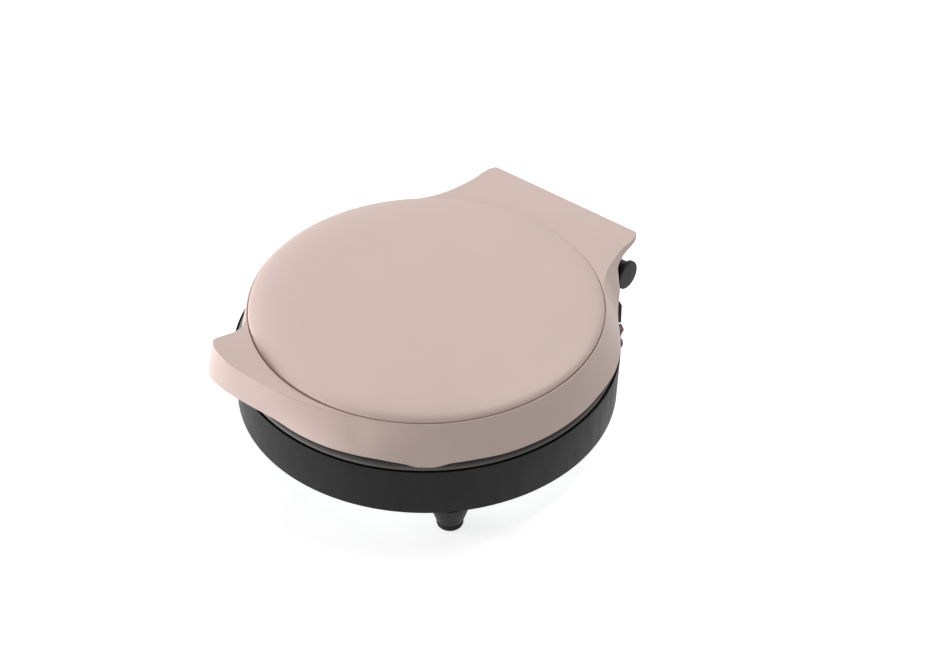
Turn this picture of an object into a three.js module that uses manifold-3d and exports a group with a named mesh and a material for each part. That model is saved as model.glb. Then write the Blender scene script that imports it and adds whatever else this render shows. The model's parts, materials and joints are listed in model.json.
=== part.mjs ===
import * as THREE from 'three';
import { mergeVertices } from 'three/addons/utils/BufferGeometryUtils.js';
import Module from 'manifold-3d';

const wasm = await Module();
wasm.setup();

// Electric pizza maker: a round countertop cooker with a hinged lid.
// Millimetres, +Z up. The hinge is at +Y, the handle at -Y, the switch at +X.
// Angles of outline tables are degrees, anticlockwise from +X.

// Heights of the main bands, from the worktop up
const footHeight = 27.5;
const wallHeight = 42;
const partingGap = 6;
const skirtHeight = 31;
const domeHeight = 8;

// The cooking plate's face, and how far each band outside it reaches past the one before
const faceR = 116;
const dishDraft = 4;
const plateRimWidth = 4;
const flangeWidth = 4;
const coverReach = 9;
const grooveGap = 0.6;
const rimWidth = 1.2;
const skirtFlare = 9.5;
const baseReach = 2.1;
const wallDraft = 2;

// Clearances
const seat = 0.3;
const runGap = 0.3;
const slip = 0.4;
const over = 1;

// Round stretches
const bigSegments = 48;
const thinSegments = 32;
const footSegments = 16;
const smallSegments = 12;
const screwSegments = 6;

// Rear tab of the lid ring
const tabHalf = 72.4;
const tabOverhang = 20.3;
const tabBlend = 9;
const tabSideShares = [
  [19, 1.5], [20.7, 1.22], [22.4, 1], [24.5, 0.79], [26.1, 0.61], [28.9, 0.41],
  [32.7, 0.22], [37.2, 0.085], [43.9, 0.01], [49, 0],
];
const tabDepthShares = [
  [0, 0.14], [20, 0.14], [24, 0.18], [26, 0.26], [28, 0.38], [30, 0.52], [33, 0.72], [37, 0.92], [42, 1],
];

// Front handle: the raised lip at its left, the low tip at its right
const lipReach = 28.2;
const lipShares = [
  [218.5, 0], [222.2, 0.01], [226.4, 0.07], [228.8, 0.18], [230.1, 0.34], [230.8, 0.52], [231.3, 0.7],
  [231.7, 0.85], [232.3, 0.95], [233.6, 0.99], [235.4, 1], [237.8, 0.96], [240.2, 0.9], [243.8, 0.81],
  [250, 0.62], [258.6, 0.4], [267.7, 0.23], [275.7, 0.12], [283.1, 0.045], [289, 0],
];
const lowerReach = 23.7;
const lowerShares = [
  [214, 0], [219, 0.02], [223, 0.07], [226, 0.2], [228.3, 0.42], [229.6, 0.66], [230.6, 0.86], [231.6, 0.97],
  [232.8, 1], [235, 0.975], [239, 0.82], [244.8, 0.54], [250.6, 0.285], [255, 0.135], [260.3, 0.02], [264, 0],
];
const flareShares = [[25, 0], [28, 0.1], [31, 0.4], [34, 0.75], [38, 0.95], [42, 1]];
const flankReach = 4;
const flankShares = [
  [28, 0], [31, 0.65], [34, 0.9], [38, 0.6], [44, 0.4], [52, 0.38], [60, 0.55], [68, 0.5], [75, 0.2], [82, 0],
];
const tuckDepth = 4;
const tuckShares = [
  [180, 0], [195, 0.3], [203, 0.85], [209, 1], [215, 1], [219, 0.9], [223, 0.6], [227, 0.2], [230, 0],
];
const edgeLift = 2.8;
const edgeLiftShares = [
  [262, 0], [280, 0.25], [287, 0.5], [294, 0.6], [300, 0.2], [303.3, -0.2], [306.6, -1.05], [310.8, -1.1],
  [313.3, -0.65], [316.2, 0.05], [323, 0.25], [333, 0],
];
const lipRise = 7;
const lipLeanShare = 1.23;
const leanAngle = 308.4;
const riseShares = [
  [206, 0], [214, 0.13], [222, 0.36], [228, 0.64], [233, 0.9], [238, 1], [241, 0.92], [244, 0.73],
  [250, 0.49], [256, 0.41], [262, 0.33], [272, 0.16], [282, 0.05], [290, 0],
];
const middleRiseShare = 0.45;

// Stations of the lid ring: from, to and step, in degrees
const stationSpans = [
  [0, 44, 5.5], [44, 60, 4], [60, 72, 2], [72, 108, 6], [108, 120, 2], [120, 136, 4], [136, 216, 6.667],
  [216, 226, 2.5], [226, 230, 1], [230, 234, 0.6], [234, 240, 2], [240, 300, 5], [300, 304, 2],
  [304, 314, 1.25], [314, 360, 5.75],
];

// Lid ring section
const lidWall = 2.6;
const edgeRound = 0.5;
const ledgeDepth = 2.7;
const ledgeWall = 2.8;
const ledgeInset = 7;
const reachBlend = 8;
const tabPadLength = 24;
const tabPadWidth = 16;
const tabPadDrop = 5;
const tabPadReach = 18.5;

// Lid cover: a dome whose shoulder follows a superellipse
const coverWall = 2.2;
const domePower = 5;
const domeRound = 1.5;
const domeStepShares = [1, 0.985, 0.95, 0.9, 0.82, 0.7, 0.45];
const innerStepShares = [0.985, 0.93, 0.82, 0.5];

// Cooking plates
const flangeDrop = 2.5;
const flangeWall = 2.5;
const plateWall = 3.5;
const draftWidth = 1.5;
const upperDepth = 10.4;
const lowerDepth = 13.8;
const plateGap = 0.8;
const plateDrop = 3.4;

// Plate bosses, heaters, reflectors and what sits on the plates' backs
const plateBossR = 4;
const plateBossHeight = 10;
const plateBossAt = 52;
const plateBossCount = 3;
const plateHoleR = 1.6;
const plateHoleDepth = 8;
const heaterTubeR = 3.3;
const heaterInset = 28;
const heaterEndInset = 18;
const heaterEndAngle = 6;
const heaterTurnAngle = 14;
const heaterPointCount = 20;
const heaterSides = 6;
const heaterSteps = 34;
const reflectorInset = 4;
const reflectorWall = 0.8;
const reflectorRim = 8;
const thermostatR = 8;
const thermostatBodyHeight = 4;
const thermostatCapR = 6.5;
const thermostatHeight = 6;
const bladeWidth = 4;
const bladeWall = 0.8;
const bladeHeight = 2.5;
const bladeAt = 3.5;
const fuseR = 2.2;
const fuseLength = 26;
const fuseAt = 30;

// Lid collar
const collarDrop = 33.5;
const collarWall = 4.1;
const collarNeckWall = 2.5;
const collarLipWidth = 3;
const collarLipWall = 2.5;
const collarFlangeEdge = 0.4;
const collarFlangeDrop = 23.5;
const collarFlangeWall = 2.8;
const collarBossR = 3.2;
const collarBossGap = 0.9;
const collarBossCount = 4;

// Base rim
const rimInset = 0.4;
const shoulderRise = 3;
const shoulderWidth = 7.4;
const shoulderEdge = 0.4;
const shoulderMiddleShare = 0.4;
const shoulderRiseShare = 0.7;
const rimPlateWall = 2.8;
const rimLedgeWall = 2.5;
const rimLedgeWidth = 5.6;
const rimNeckWall = 2.6;
const spigotWall = 2.6;
const spigotDepth = 4;

// Base shell and bottom cover
const shellWall = 3.2;
const shellRound = 0.5;
const coverLedgeWidth = 3.7;
const coverLedgeWall = 2.5;
const coverRecess = 1.4;
const bottomCoverWall = 2.5;
const ventCount = 6;
const ventLength = 30;
const ventWidth = 4;
const ventAt = 62;

// Feet
const footInset = 17.4;
const footAngle = 43.5;
const footTopR = 17.6;
const footLowR = 11.6;
const footPlugR = 13.5;
const padHeight = 5.5;
const padLowR = 9;
const padEdge = 1.2;
const footBoreR = 4.2;
const footScrewSeat = 7;
const padPlug = 7;
const footBossR = 5;
const footBossHeight = 14;
const footBossWeb = 3;
const footScrewR = 1.9;
const footScrewLength = 20;

// Screws
const screwHeadR = 3.2;
const screwHeadHeight = 2;
const screwR = 1.3;
const plateScrewLength = 7;
const collarScrewLength = 9;

// Hinge
const hingeReach = 6.6;
const hingeDrop = 28;
const openAngle = 100;
const stopClearAngle = 2;
const barrelR = 12;
const blockR = 10.5;
const blockHalf = 39.7;
const armWidth = 20;
const armFootDepth = 6;
const armTangentAngle = -25;
const arcSteps = 12;
const capWidth = 18.3;
const capRound = 1;
const capDiscWall = 4;
const capShankR = 9.8;
const pinR = 3;
const pinInCap = 10;
const blockFrontReach = 19;
const blockFrontDrop = 21;
const blockScrewX = 28;
const blockScrewReach = 15;
const blockScrewSeat = 3;
const blockBoreR = 3.6;
const blockScrewLength = 12;

// Hinge housing on the back of the base
const housingReach = 11.5;
const housingAngle = 33;
const housingTop = 3;
const housingHeight = 17.5;
const housingSteps = 16;
const housingScrewAngle = 24;
const housingScrewDrop = 14;
const housingScrewLength = 10;
const housingHoleDepth = 8;

// Rocker switch and lamp on the right rear of the base
const switchAngle = 50;
const switchDrop = 12.9;
const bezelWidth = 13;
const bezelHeight = 19;
const bezelWall = 1.9;
const switchWidth = 11;
const switchHeight = 16.4;
const switchBodyDepth = 16;
const pocketWidth = 8.6;
const pocketHeight = 13.8;
const pocketDepth = 9;
const rockerHalf = 5.8;
const rockerFace = 5;
const rockerDeep = 5;
const rockerDeepHalf = 3.5;
const rockerTilt = 10;
const lampAngle = 43.5;
const lampDrop = 10.1;
const lensR = 4;
const lensDomeR = 3;
const lensFlangeR = 5.2;
const lensFlangeWall = 1.2;
const lensDome = 2.3;
const lensLength = 6.2;
const lensFront = 1.5;
const bulbR = 2.4;
const bulbLength = 11;

// Terminal block and cord gland
const terminalLength = 34;
const terminalDepth = 14;
const terminalHeight = 11;
const terminalInset = 19.2;
const glandR = 4.2;
const glandBoreR = 3;
const glandFlangeR = 6.3;
const glandFlangeWall = 2.6;
const glandDepth = 9;
const glandRise = 11.8;

// Worked-out levels and radii
const wallTopZ = footHeight + wallHeight;
const skirtBottomZ = wallTopZ + partingGap;
const rimZ = skirtBottomZ + skirtHeight;
const plateRimR = faceR + dishDraft + plateRimWidth;
const flangeR = plateRimR + flangeWidth;
const coverR = flangeR + coverReach;
const grooveR = coverR + grooveGap;
const ringTopR = grooveR + rimWidth;
const skirtBottomR = ringTopR + skirtFlare;
const baseR = skirtBottomR + baseReach;
const ledgeR = grooveR - ledgeInset;
const heaterR = faceR - heaterInset;
const heaterEndR = heaterR - heaterEndInset;
const reflectorR = faceR - reflectorInset;
const collarInnerR = flangeR + slip;
const collarOuterR = collarInnerR + collarWall;
const collarBossAt = collarOuterR + collarBossGap + collarBossR;
const collarFlangeR = collarBossAt + collarBossR + collarFlangeEdge;
const upperRimZ = skirtBottomZ - plateDrop;
const lowerRimZ = upperRimZ - plateGap;
const hingeZ = rimZ - hingeDrop;
const underTabZ = rimZ - lidWall;
const collarFlangeTopZ = rimZ - collarFlangeDrop;
const lowWallR = baseR - wallDraft;
const shellInnerR = lowWallR - shellWall;
const footAt = lowWallR - footInset;
const terminalAt = shellInnerR - terminalInset;
const hingeY = baseR + hingeReach;
const housingR = baseR + housingReach;
const tabRear = hingeY + tabOverhang;
const tabPadFront = hingeY - tabPadReach;
const blockFrontY = hingeY - blockFrontReach;
const blockScrewY = hingeY - blockScrewReach;
const bottomCoverZ = footHeight + coverRecess;
const coverLedgeZ = bottomCoverZ + bottomCoverWall + seat;
const armInnerX = blockHalf + seat;
const armOuterX = armInnerX + armWidth;

// Materials
function material(color, roughness, metalness) {
  return new THREE.MeshStandardMaterial({ color, roughness, metalness });
}
const rosePaint = material(0xd5c0bd, 0.45, 0.1);
const blackPlastic = material(0x2b2b2c, 0.5, 0);
const greyPlastic = material(0x4a4948, 0.55, 0);
const nonStick = material(0x26262a, 0.4, 0.4);
const heaterSteel = material(0x5a5f58, 0.5, 0.8);
const sheetSteel = material(0xb4b6b8, 0.35, 0.9);
const zincSteel = material(0xa9abad, 0.3, 0.9);
const ceramic = material(0xe6e1d6, 0.6, 0);
const redRocker = material(0x8a1f1c, 0.3, 0);
const smokyLens = material(0xa08c88, 0.2, 0);
const rubber = material(0x1d1d1e, 0.8, 0);

// Geometry helpers
const degree = Math.PI / 180;
const fullTurn = 360;

function clean(geometry) {
  const plain = geometry.index ? geometry : geometry.clone();
  plain.deleteAttribute('normal');
  plain.deleteAttribute('uv');
  const merged = mergeVertices(plain);
  const kept = [];
  const index = merged.index.array;
  for (let i = 0; i < index.length; i += 3) {
    const [a, b, c] = index.slice(i, i + 3);
    if (a !== b && b !== c && a !== c) kept.push(a, b, c);
  }
  merged.setIndex(kept);
  return merged;
}

function toSolid(geometry) {
  const merged = clean(geometry);
  return new wasm.Manifold(new wasm.Mesh({
    numProp: 3,
    vertProperties: new Float32Array(merged.attributes.position.array),
    triVerts: new Uint32Array(merged.index.array),
  }));
}

function fromSolid(solid) {
  const mesh = solid.getMesh();
  const geometry = new THREE.BufferGeometry();
  geometry.setAttribute('position', new THREE.BufferAttribute(new Float32Array(mesh.vertProperties), 3));
  geometry.setIndex(new THREE.BufferAttribute(new Uint32Array(mesh.triVerts), 1));
  return geometry;
}

// Joins the added geometries to the body and then cuts the removed ones out of it
function combine(body, added, removed) {
  let solid = toSolid(body);
  for (const piece of added) solid = solid.add(toSolid(piece));
  for (const piece of removed) solid = solid.subtract(toSolid(piece));
  return fromSolid(solid);
}

// Turns a profile of [radius, height] points, anticlockwise, about the Z axis
function turned(profile, segments) {
  const points = profile.map(([r, z]) => new THREE.Vector2(r, z));
  if (profile[0][0] !== 0) points.push(points[0].clone());
  return new THREE.LatheGeometry(points, segments).rotateX(Math.PI / 2);
}

function cylinder(radius, bottom, top, segments) {
  return turned([[0, bottom], [radius, bottom], [radius, top], [0, top]], segments);
}

function box(width, depth, height) {
  return new THREE.BoxGeometry(width, depth, height);
}

// Extrudes an outline of [Y, Z] points along X, from one X to another
function slab(outline, fromX, toX) {
  const shape = new THREE.Shape(outline.map(([y, z]) => new THREE.Vector2(y, z)));
  const geometry = new THREE.ExtrudeGeometry(shape, { depth: toX - fromX, bevelEnabled: false });
  geometry.rotateX(Math.PI / 2).rotateZ(Math.PI / 2);
  return geometry.translate(fromX, 0, 0);
}

function arcPoints(centreY, centreZ, radius, fromAngle, toAngle, count) {
  return Array.from({ length: count + 1 }, (_, i) => {
    const angle = (fromAngle + (toAngle - fromAngle) * i / count) * degree;
    return [centreY + radius * Math.cos(angle), centreZ + radius * Math.sin(angle)];
  });
}

function polar(radius, angle) {
  return [radius * Math.cos(angle * degree), radius * Math.sin(angle * degree)];
}

// A smooth monotone curve through a table of [angle, share] rows
function readTable(table, angle) {
  const last = table.length - 1;
  if (angle <= table[0][0]) return table[0][1];
  if (angle >= table[last][0]) return table[last][1];
  const slope = (i) => (table[i + 1][1] - table[i][1]) / (table[i + 1][0] - table[i][0]);
  const tangent = (i) => {
    if (i === 0 || i === last) return 0;
    const before = slope(i - 1);
    const after = slope(i);
    return before * after <= 0 ? 0 : 2 * before * after / (before + after);
  };
  const i = table.findIndex((row) => row[0] > angle) - 1;
  const span = table[i + 1][0] - table[i][0];
  const t = (angle - table[i][0]) / span;
  const rise = table[i + 1][1] - table[i][1];
  const start = tangent(i) * span;
  const end = tangent(i + 1) * span;
  return table[i][1] + t * (start + t * (3 * rise - 2 * start - end + t * (start + end - 2 * rise)));
}

function softMin(a, b, blend) {
  const h = Math.max(blend - Math.abs(a - b), 0) / blend;
  return Math.min(a, b) - h * h * blend / 4;
}

// Lid ring outline: radius of its top edge and lower edge, and its depth, at an angle
function fromRear(angle) {
  return Math.abs(((angle - 90 + fullTurn / 2 + fullTurn) % fullTurn) - fullTurn / 2);
}

function topRadius(angle) {
  const away = fromRear(angle);
  const cornerR = Math.hypot(tabHalf, tabRear);
  const side = ringTopR + (cornerR - ringTopR) * readTable(tabSideShares, away);
  const lip = ringTopR + lipReach * readTable(lipShares, angle);
  if (away > tabSideShares[tabSideShares.length - 1][0]) return lip;
  return softMin(side, tabRear / Math.cos(away * degree), tabBlend);
}

function edgeDepth(angle) {
  const lift = edgeLift * readTable(edgeLiftShares, angle);
  return skirtHeight * readTable(tabDepthShares, fromRear(angle)) - lift;
}

function lowerRadius(angle) {
  const flare = skirtFlare * readTable(flareShares, fromRear(angle));
  const flank = flankReach * readTable(flankShares, fromRear(angle));
  const handle = lowerReach * readTable(lowerShares, angle) - tuckDepth * readTable(tuckShares, angle);
  if (fromRear(angle) < 90) return topRadius(angle) + flare + flank;
  return skirtBottomR + handle;
}

// The same outline drawn in by the wall, also where it runs nearly along a radius
function inward(outline, angle) {
  const turn = lidWall / outline(angle) / degree;
  return Math.min(outline(angle - turn), outline(angle), outline(angle + turn)) - lidWall;
}

// The ring's section as [radius, height, share of the lip's rise] points
function ringSection(angle) {
  const top = topRadius(angle);
  const bottom = rimZ - edgeDepth(angle);
  const reach = Math.min(Math.max(top - ringTopR, 0) / reachBlend, 1);
  const ledgeZ = rimZ - ledgeDepth - ledgeWall;
  const innerTop = inward(topRadius, angle) + (1 - reach) * (lidWall - rimWidth / 2);
  const underZ = ledgeZ + reach * (ledgeDepth + ledgeWall - lidWall);
  return [
    [lowerRadius(angle), bottom, 0],
    [top, rimZ - edgeRound, 1],
    [top - edgeRound, rimZ, 1],
    [(top + grooveR) / 2, rimZ, middleRiseShare],
    [grooveR, rimZ, 0],
    [grooveR, rimZ - ledgeDepth, 0],
    [ledgeR, rimZ - ledgeDepth, 0],
    [ledgeR, ledgeZ, 0],
    [grooveR, ledgeZ, 0],
    [(innerTop + grooveR) / 2, underZ, middleRiseShare],
    [innerTop, underZ, 1],
    [inward(lowerRadius, angle), bottom, 0],
  ];
}

// Places a section's points, the lip leaning out as it rises
function placeSection(section, angle) {
  const rise = lipRise * readTable(riseShares, angle);
  return section.flatMap(([r, z, share]) => {
    const [x, y] = polar(r, angle);
    const [leanX, leanY] = polar(rise * share * lipLeanShare, leanAngle);
    return [x + leanX, y + leanY, z + rise * share];
  });
}

function ringLoft() {
  const angles = stationSpans.flatMap(([from, to, step]) => {
    const count = Math.round((to - from) / step);
    return Array.from({ length: count }, (_, i) => from + (to - from) * i / count);
  });
  const sections = angles.map(ringSection);
  const size = sections[0].length;
  const positions = sections.flatMap((section, i) => placeSection(section, angles[i]));
  const index = [];
  for (let i = 0; i < angles.length; i += 1) {
    const next = (i + 1) % angles.length;
    for (let j = 0; j < size; j += 1) {
      const up = (j + 1) % size;
      const corners = [i * size + j, next * size + j, next * size + up, i * size + up];
      index.push(corners[0], corners[1], corners[3], corners[1], corners[2], corners[3]);
    }
  }
  const geometry = new THREE.BufferGeometry();
  geometry.setAttribute('position', new THREE.Float32BufferAttribute(positions, 3));
  geometry.setIndex(index);
  return geometry;
}

// Assembly
const group = new THREE.Group();

function add(name, geometry, look, parent = group) {
  const mesh = new THREE.Mesh(clean(geometry), look);
  mesh.name = name;
  parent.add(mesh);
  return mesh;
}

// A screw that points up, its head below zero
function screw(length, shaftR = screwR) {
  return turned([
    [0, -screwHeadHeight], [screwHeadR, -screwHeadHeight], [screwHeadR, 0], [shaftR, 0],
    [shaftR, length], [0, length],
  ], screwSegments);
}

// Lid
function spread(count, offsetShare = 0) {
  return Array.from({ length: count }, (_, i) => (i + offsetShare) * fullTurn / count);
}

function lidRing() {
  const added = [];
  const removed = [];
  const bottom = collarFlangeTopZ + seat;
  for (const angle of spread(collarBossCount, 0.5)) {
    const [x, y] = polar(collarBossAt, angle);
    const hole = cylinder(screwR + runGap, bottom - over, bottom + collarScrewLength, screwSegments);
    added.push(cylinder(collarBossR, bottom, rimZ - ledgeDepth - over, smallSegments).translate(x, y, 0));
    removed.push(hole.translate(x, y, 0));
  }
  const padBottom = underTabZ - tabPadDrop;
  for (const side of [-1, 1]) {
    const x = side * blockScrewX;
    const pad = box(tabPadWidth, tabPadLength, tabPadDrop + over);
    const hole = cylinder(screwR + runGap, padBottom - over, underTabZ, screwSegments);
    added.push(pad.translate(x, tabPadFront + tabPadLength / 2, (padBottom + underTabZ + over) / 2));
    removed.push(hole.translate(x, blockScrewY, 0));
  }
  return combine(ringLoft(), added, removed);
}

function domeRise(share) {
  return domeHeight * (1 - share ** domePower) ** (1 / domeRound);
}

function lidCover() {
  const edgeZ = rimZ - ledgeDepth + seat;
  const outer = domeStepShares.map((share) => [coverR * share, rimZ + domeRise(share)]);
  const inner = innerStepShares.map((share) => [coverR * share, rimZ + domeRise(share) - coverWall]);
  return turned([
    [0, rimZ + domeHeight - coverWall], ...inner.reverse(), [coverR * innerStepShares[0], edgeZ],
    [coverR, edgeZ], ...outer, [0, rimZ + domeHeight],
  ], bigSegments);
}

function lidCollar() {
  const bottom = rimZ - collarDrop;
  const neckR = collarOuterR - collarNeckWall;
  const lipZ = upperRimZ + flangeDrop + flangeWall + seat;
  const lipR = flangeR - collarLipWidth;
  const ring = turned([
    [collarInnerR, bottom], [collarOuterR, bottom], [collarOuterR, collarFlangeTopZ - collarFlangeWall],
    [collarFlangeR, collarFlangeTopZ - collarFlangeWall], [collarFlangeR, collarFlangeTopZ],
    [collarOuterR, collarFlangeTopZ], [collarOuterR, rimZ - ledgeDepth - ledgeWall - seat],
    [neckR, rimZ - ledgeDepth - ledgeWall - seat], [neckR, lipZ + collarLipWall],
    [lipR, lipZ + collarLipWall], [lipR, lipZ], [collarInnerR, lipZ],
  ], bigSegments);
  const holes = spread(collarBossCount, 0.5).map((angle) => {
    const hole = cylinder(
      screwR + runGap, collarFlangeTopZ - collarFlangeWall - over, collarFlangeTopZ + over, screwSegments,
    );
    return hole.translate(...polar(collarBossAt, angle), 0);
  });
  return combine(ring, [], holes);
}

function addCollarScrews() {
  spread(collarBossCount, 0.5).forEach((angle, i) => {
    const mesh = add(`collar_screw_${i + 1}`, screw(collarScrewLength), zincSteel);
    mesh.position.set(...polar(collarBossAt, angle), collarFlangeTopZ - collarFlangeWall - seat);
  });
}

// A cooking plate and what its back carries, with the plate's rim at zero and its dish opening upwards
function pan(depth) {
  const back = -depth - plateWall;
  const body = turned([
    [0, back], [faceR + draftWidth, back], [plateRimR - flangeDrop, -flangeDrop - flangeWall],
    [flangeR, -flangeDrop - flangeWall], [flangeR, -flangeDrop], [plateRimR, -flangeDrop], [plateRimR, 0],
    [plateRimR - plateRimWidth, 0], [faceR, -depth], [0, -depth],
  ], bigSegments);
  const places = spread(plateBossCount, 0.25).map((angle) => polar(plateBossAt, angle));
  const bossEnd = back - plateBossHeight;
  const bosses = places.map((at) => (
    cylinder(plateBossR, bossEnd, back + over, smallSegments).translate(...at, 0)
  ));
  const holes = places.map((at) => (
    cylinder(plateHoleR, bossEnd - over, bossEnd + plateHoleDepth, screwSegments).translate(...at, 0)
  ));
  return combine(body, bosses, holes);
}

function heater(depth) {
  const z = -depth - plateWall - seat - heaterTubeR;
  const points = [new THREE.Vector3(...polar(heaterEndR, heaterEndAngle), z)];
  points.push(new THREE.Vector3(...polar((heaterEndR + heaterR) / 2, heaterEndAngle), z));
  for (let i = 0; i <= heaterPointCount; i += 1) {
    const angle = heaterTurnAngle + (fullTurn - 2 * heaterTurnAngle) * i / heaterPointCount;
    points.push(new THREE.Vector3(...polar(heaterR, angle), z));
  }
  points.push(new THREE.Vector3(...polar((heaterEndR + heaterR) / 2, -heaterEndAngle), z));
  points.push(new THREE.Vector3(...polar(heaterEndR, -heaterEndAngle), z));
  const section = new THREE.Shape(spread(heaterSides).map((angle) => (
    new THREE.Vector2(...polar(heaterTubeR, angle + fullTurn / heaterSides / 2))
  )));
  return new THREE.ExtrudeGeometry(section, {
    steps: heaterSteps, bevelEnabled: false, extrudePath: new THREE.CatmullRomCurve3(points),
  });
}

function reflector(depth) {
  const top = -depth - plateWall - plateBossHeight - seat;
  const bottom = top - reflectorWall;
  const dish = turned([
    [0, bottom], [reflectorR + reflectorWall, bottom], [reflectorR + reflectorWall, bottom + reflectorRim],
    [reflectorR, bottom + reflectorRim], [reflectorR, top], [0, top],
  ], thinSegments);
  const holes = spread(plateBossCount, 0.25).map((angle) => {
    const hole = cylinder(screwR + runGap, bottom - over, top + over, screwSegments);
    return hole.translate(...polar(plateBossAt, angle), 0);
  });
  return combine(dish, [], holes);
}

function thermostat(depth) {
  const back = -depth - plateWall - seat;
  const body = turned([
    [0, back - thermostatHeight], [thermostatCapR, back - thermostatHeight],
    [thermostatCapR, back - thermostatBodyHeight], [thermostatR, back - thermostatBodyHeight],
    [thermostatR, back], [0, back],
  ], smallSegments);
  const blades = [-1, 1].map((side) => (
    box(bladeWall, bladeWidth, bladeHeight + over)
      .translate(side * bladeAt, 0, back - thermostatHeight - (bladeHeight - over) / 2)
  ));
  return combine(body, blades, []);
}

function thermalFuse(depth) {
  const body = cylinder(fuseR, -fuseLength / 2, fuseLength / 2, smallSegments).rotateY(Math.PI / 2);
  return body.translate(0, -fuseAt, -depth - plateWall - seat - fuseR);
}

function addPlate(name, depth, parent) {
  add(`${name}_plate`, pan(depth), nonStick, parent);
  add(`${name}_heater`, heater(depth), heaterSteel, parent);
  add(`${name}_reflector`, reflector(depth), sheetSteel, parent);
  add(`${name}_thermostat`, thermostat(depth), ceramic, parent);
  add(`${name}_thermal_fuse`, thermalFuse(depth), ceramic, parent);
  const seatZ = -depth - plateWall - plateBossHeight - reflectorWall - 2 * seat;
  spread(plateBossCount, 0.25).forEach((angle, i) => {
    const mesh = add(`${name}_plate_screw_${i + 1}`, screw(plateScrewLength), zincSteel, parent);
    mesh.position.set(...polar(plateBossAt, angle), seatZ);
  });
}

function hingeBlock() {
  const top = underTabZ - tabPadDrop - seat;
  const lean = openAngle - 90 + stopClearAngle;
  const frontZ = rimZ - blockFrontDrop;
  const barrel = arcPoints(hingeY, hingeZ, blockR, 180, fullTurn + lean, arcSteps);
  const [tangentY, tangentZ] = barrel[barrel.length - 1];
  const outline = [
    [blockFrontY, frontZ], [hingeY - blockR, frontZ], ...barrel,
    [tangentY - (top - tangentZ) * Math.tan(lean * degree), top], [blockFrontY, top],
  ];
  const removed = [alongX(cylinder(pinR + runGap, -blockHalf - over, blockHalf + over, smallSegments))];
  for (const side of [-1, 1]) {
    const x = side * blockScrewX;
    const hole = cylinder(screwR + runGap, frontZ - over, top + over, screwSegments);
    removed.push(hole.translate(x, blockScrewY, 0));
    const bore = cylinder(blockBoreR, frontZ - over, frontZ + blockScrewSeat, smallSegments);
    removed.push(bore.translate(x, blockScrewY, 0));
  }
  return combine(slab(outline, -blockHalf, blockHalf), [], removed);
}

// Lays a piece made round the Z axis along the hinge's line
function alongX(geometry) {
  return geometry.rotateY(Math.PI / 2).translate(0, hingeY, hingeZ);
}

function addHingeBlockScrews() {
  [['left', -1], ['right', 1]].forEach(([word, side]) => {
    const mesh = add(`hinge_block_screw_${word}`, screw(blockScrewLength), zincSteel);
    mesh.position.set(side * blockScrewX, blockScrewY, rimZ - blockFrontDrop + blockScrewSeat - seat);
  });
}

// Base
function baseRim() {
  const top = wallTopZ + shoulderRise;
  const bottom = wallTopZ + seat;
  const outerR = baseR - rimInset;
  const spigotR = shellInnerR - seat;
  const innerR = flangeR + slip;
  const ledgeTop = lowerRimZ - flangeDrop - flangeWall - seat;
  const shoulderZ = bottom + shoulderEdge;
  return turned([
    [innerR - rimLedgeWidth, ledgeTop - rimLedgeWall], [innerR + rimNeckWall, ledgeTop - rimLedgeWall],
    [innerR + rimNeckWall, top - rimPlateWall], [spigotR - spigotWall, top - rimPlateWall],
    [spigotR - spigotWall, wallTopZ - spigotDepth], [spigotR, wallTopZ - spigotDepth], [spigotR, bottom],
    [outerR, bottom], [outerR, shoulderZ],
    [outerR - shoulderWidth * shoulderMiddleShare, shoulderZ + (top - shoulderZ) * shoulderRiseShare],
    [outerR - shoulderWidth, top], [innerR, top], [innerR, ledgeTop], [innerR - rimLedgeWidth, ledgeTop],
  ], bigSegments);
}

function wallR(z) {
  return baseR - wallDraft * (wallTopZ - z) / wallHeight;
}

// Places a piece made along +X square to the base wall, at an angle and a height
function onWall(geometry, angle, z) {
  const lean = Math.atan2(wallDraft, wallHeight);
  return geometry.rotateY(lean).rotateZ(angle * degree).translate(...polar(wallR(z), angle), z);
}

function radialCylinder(radius, fromX, toX, segments) {
  return cylinder(radius, fromX, toX, segments).rotateY(Math.PI / 2);
}

const footAngles = [footAngle, 180 - footAngle, 180 + footAngle, fullTurn - footAngle];
const footPlaces = footAngles.map((angle) => polar(footAt, angle));
const switchZ = wallTopZ - switchDrop;
const lampZ = wallTopZ - lampDrop;
const glandZ = footHeight + glandRise;
const housingScrewZ = wallTopZ - housingScrewDrop;

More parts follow.
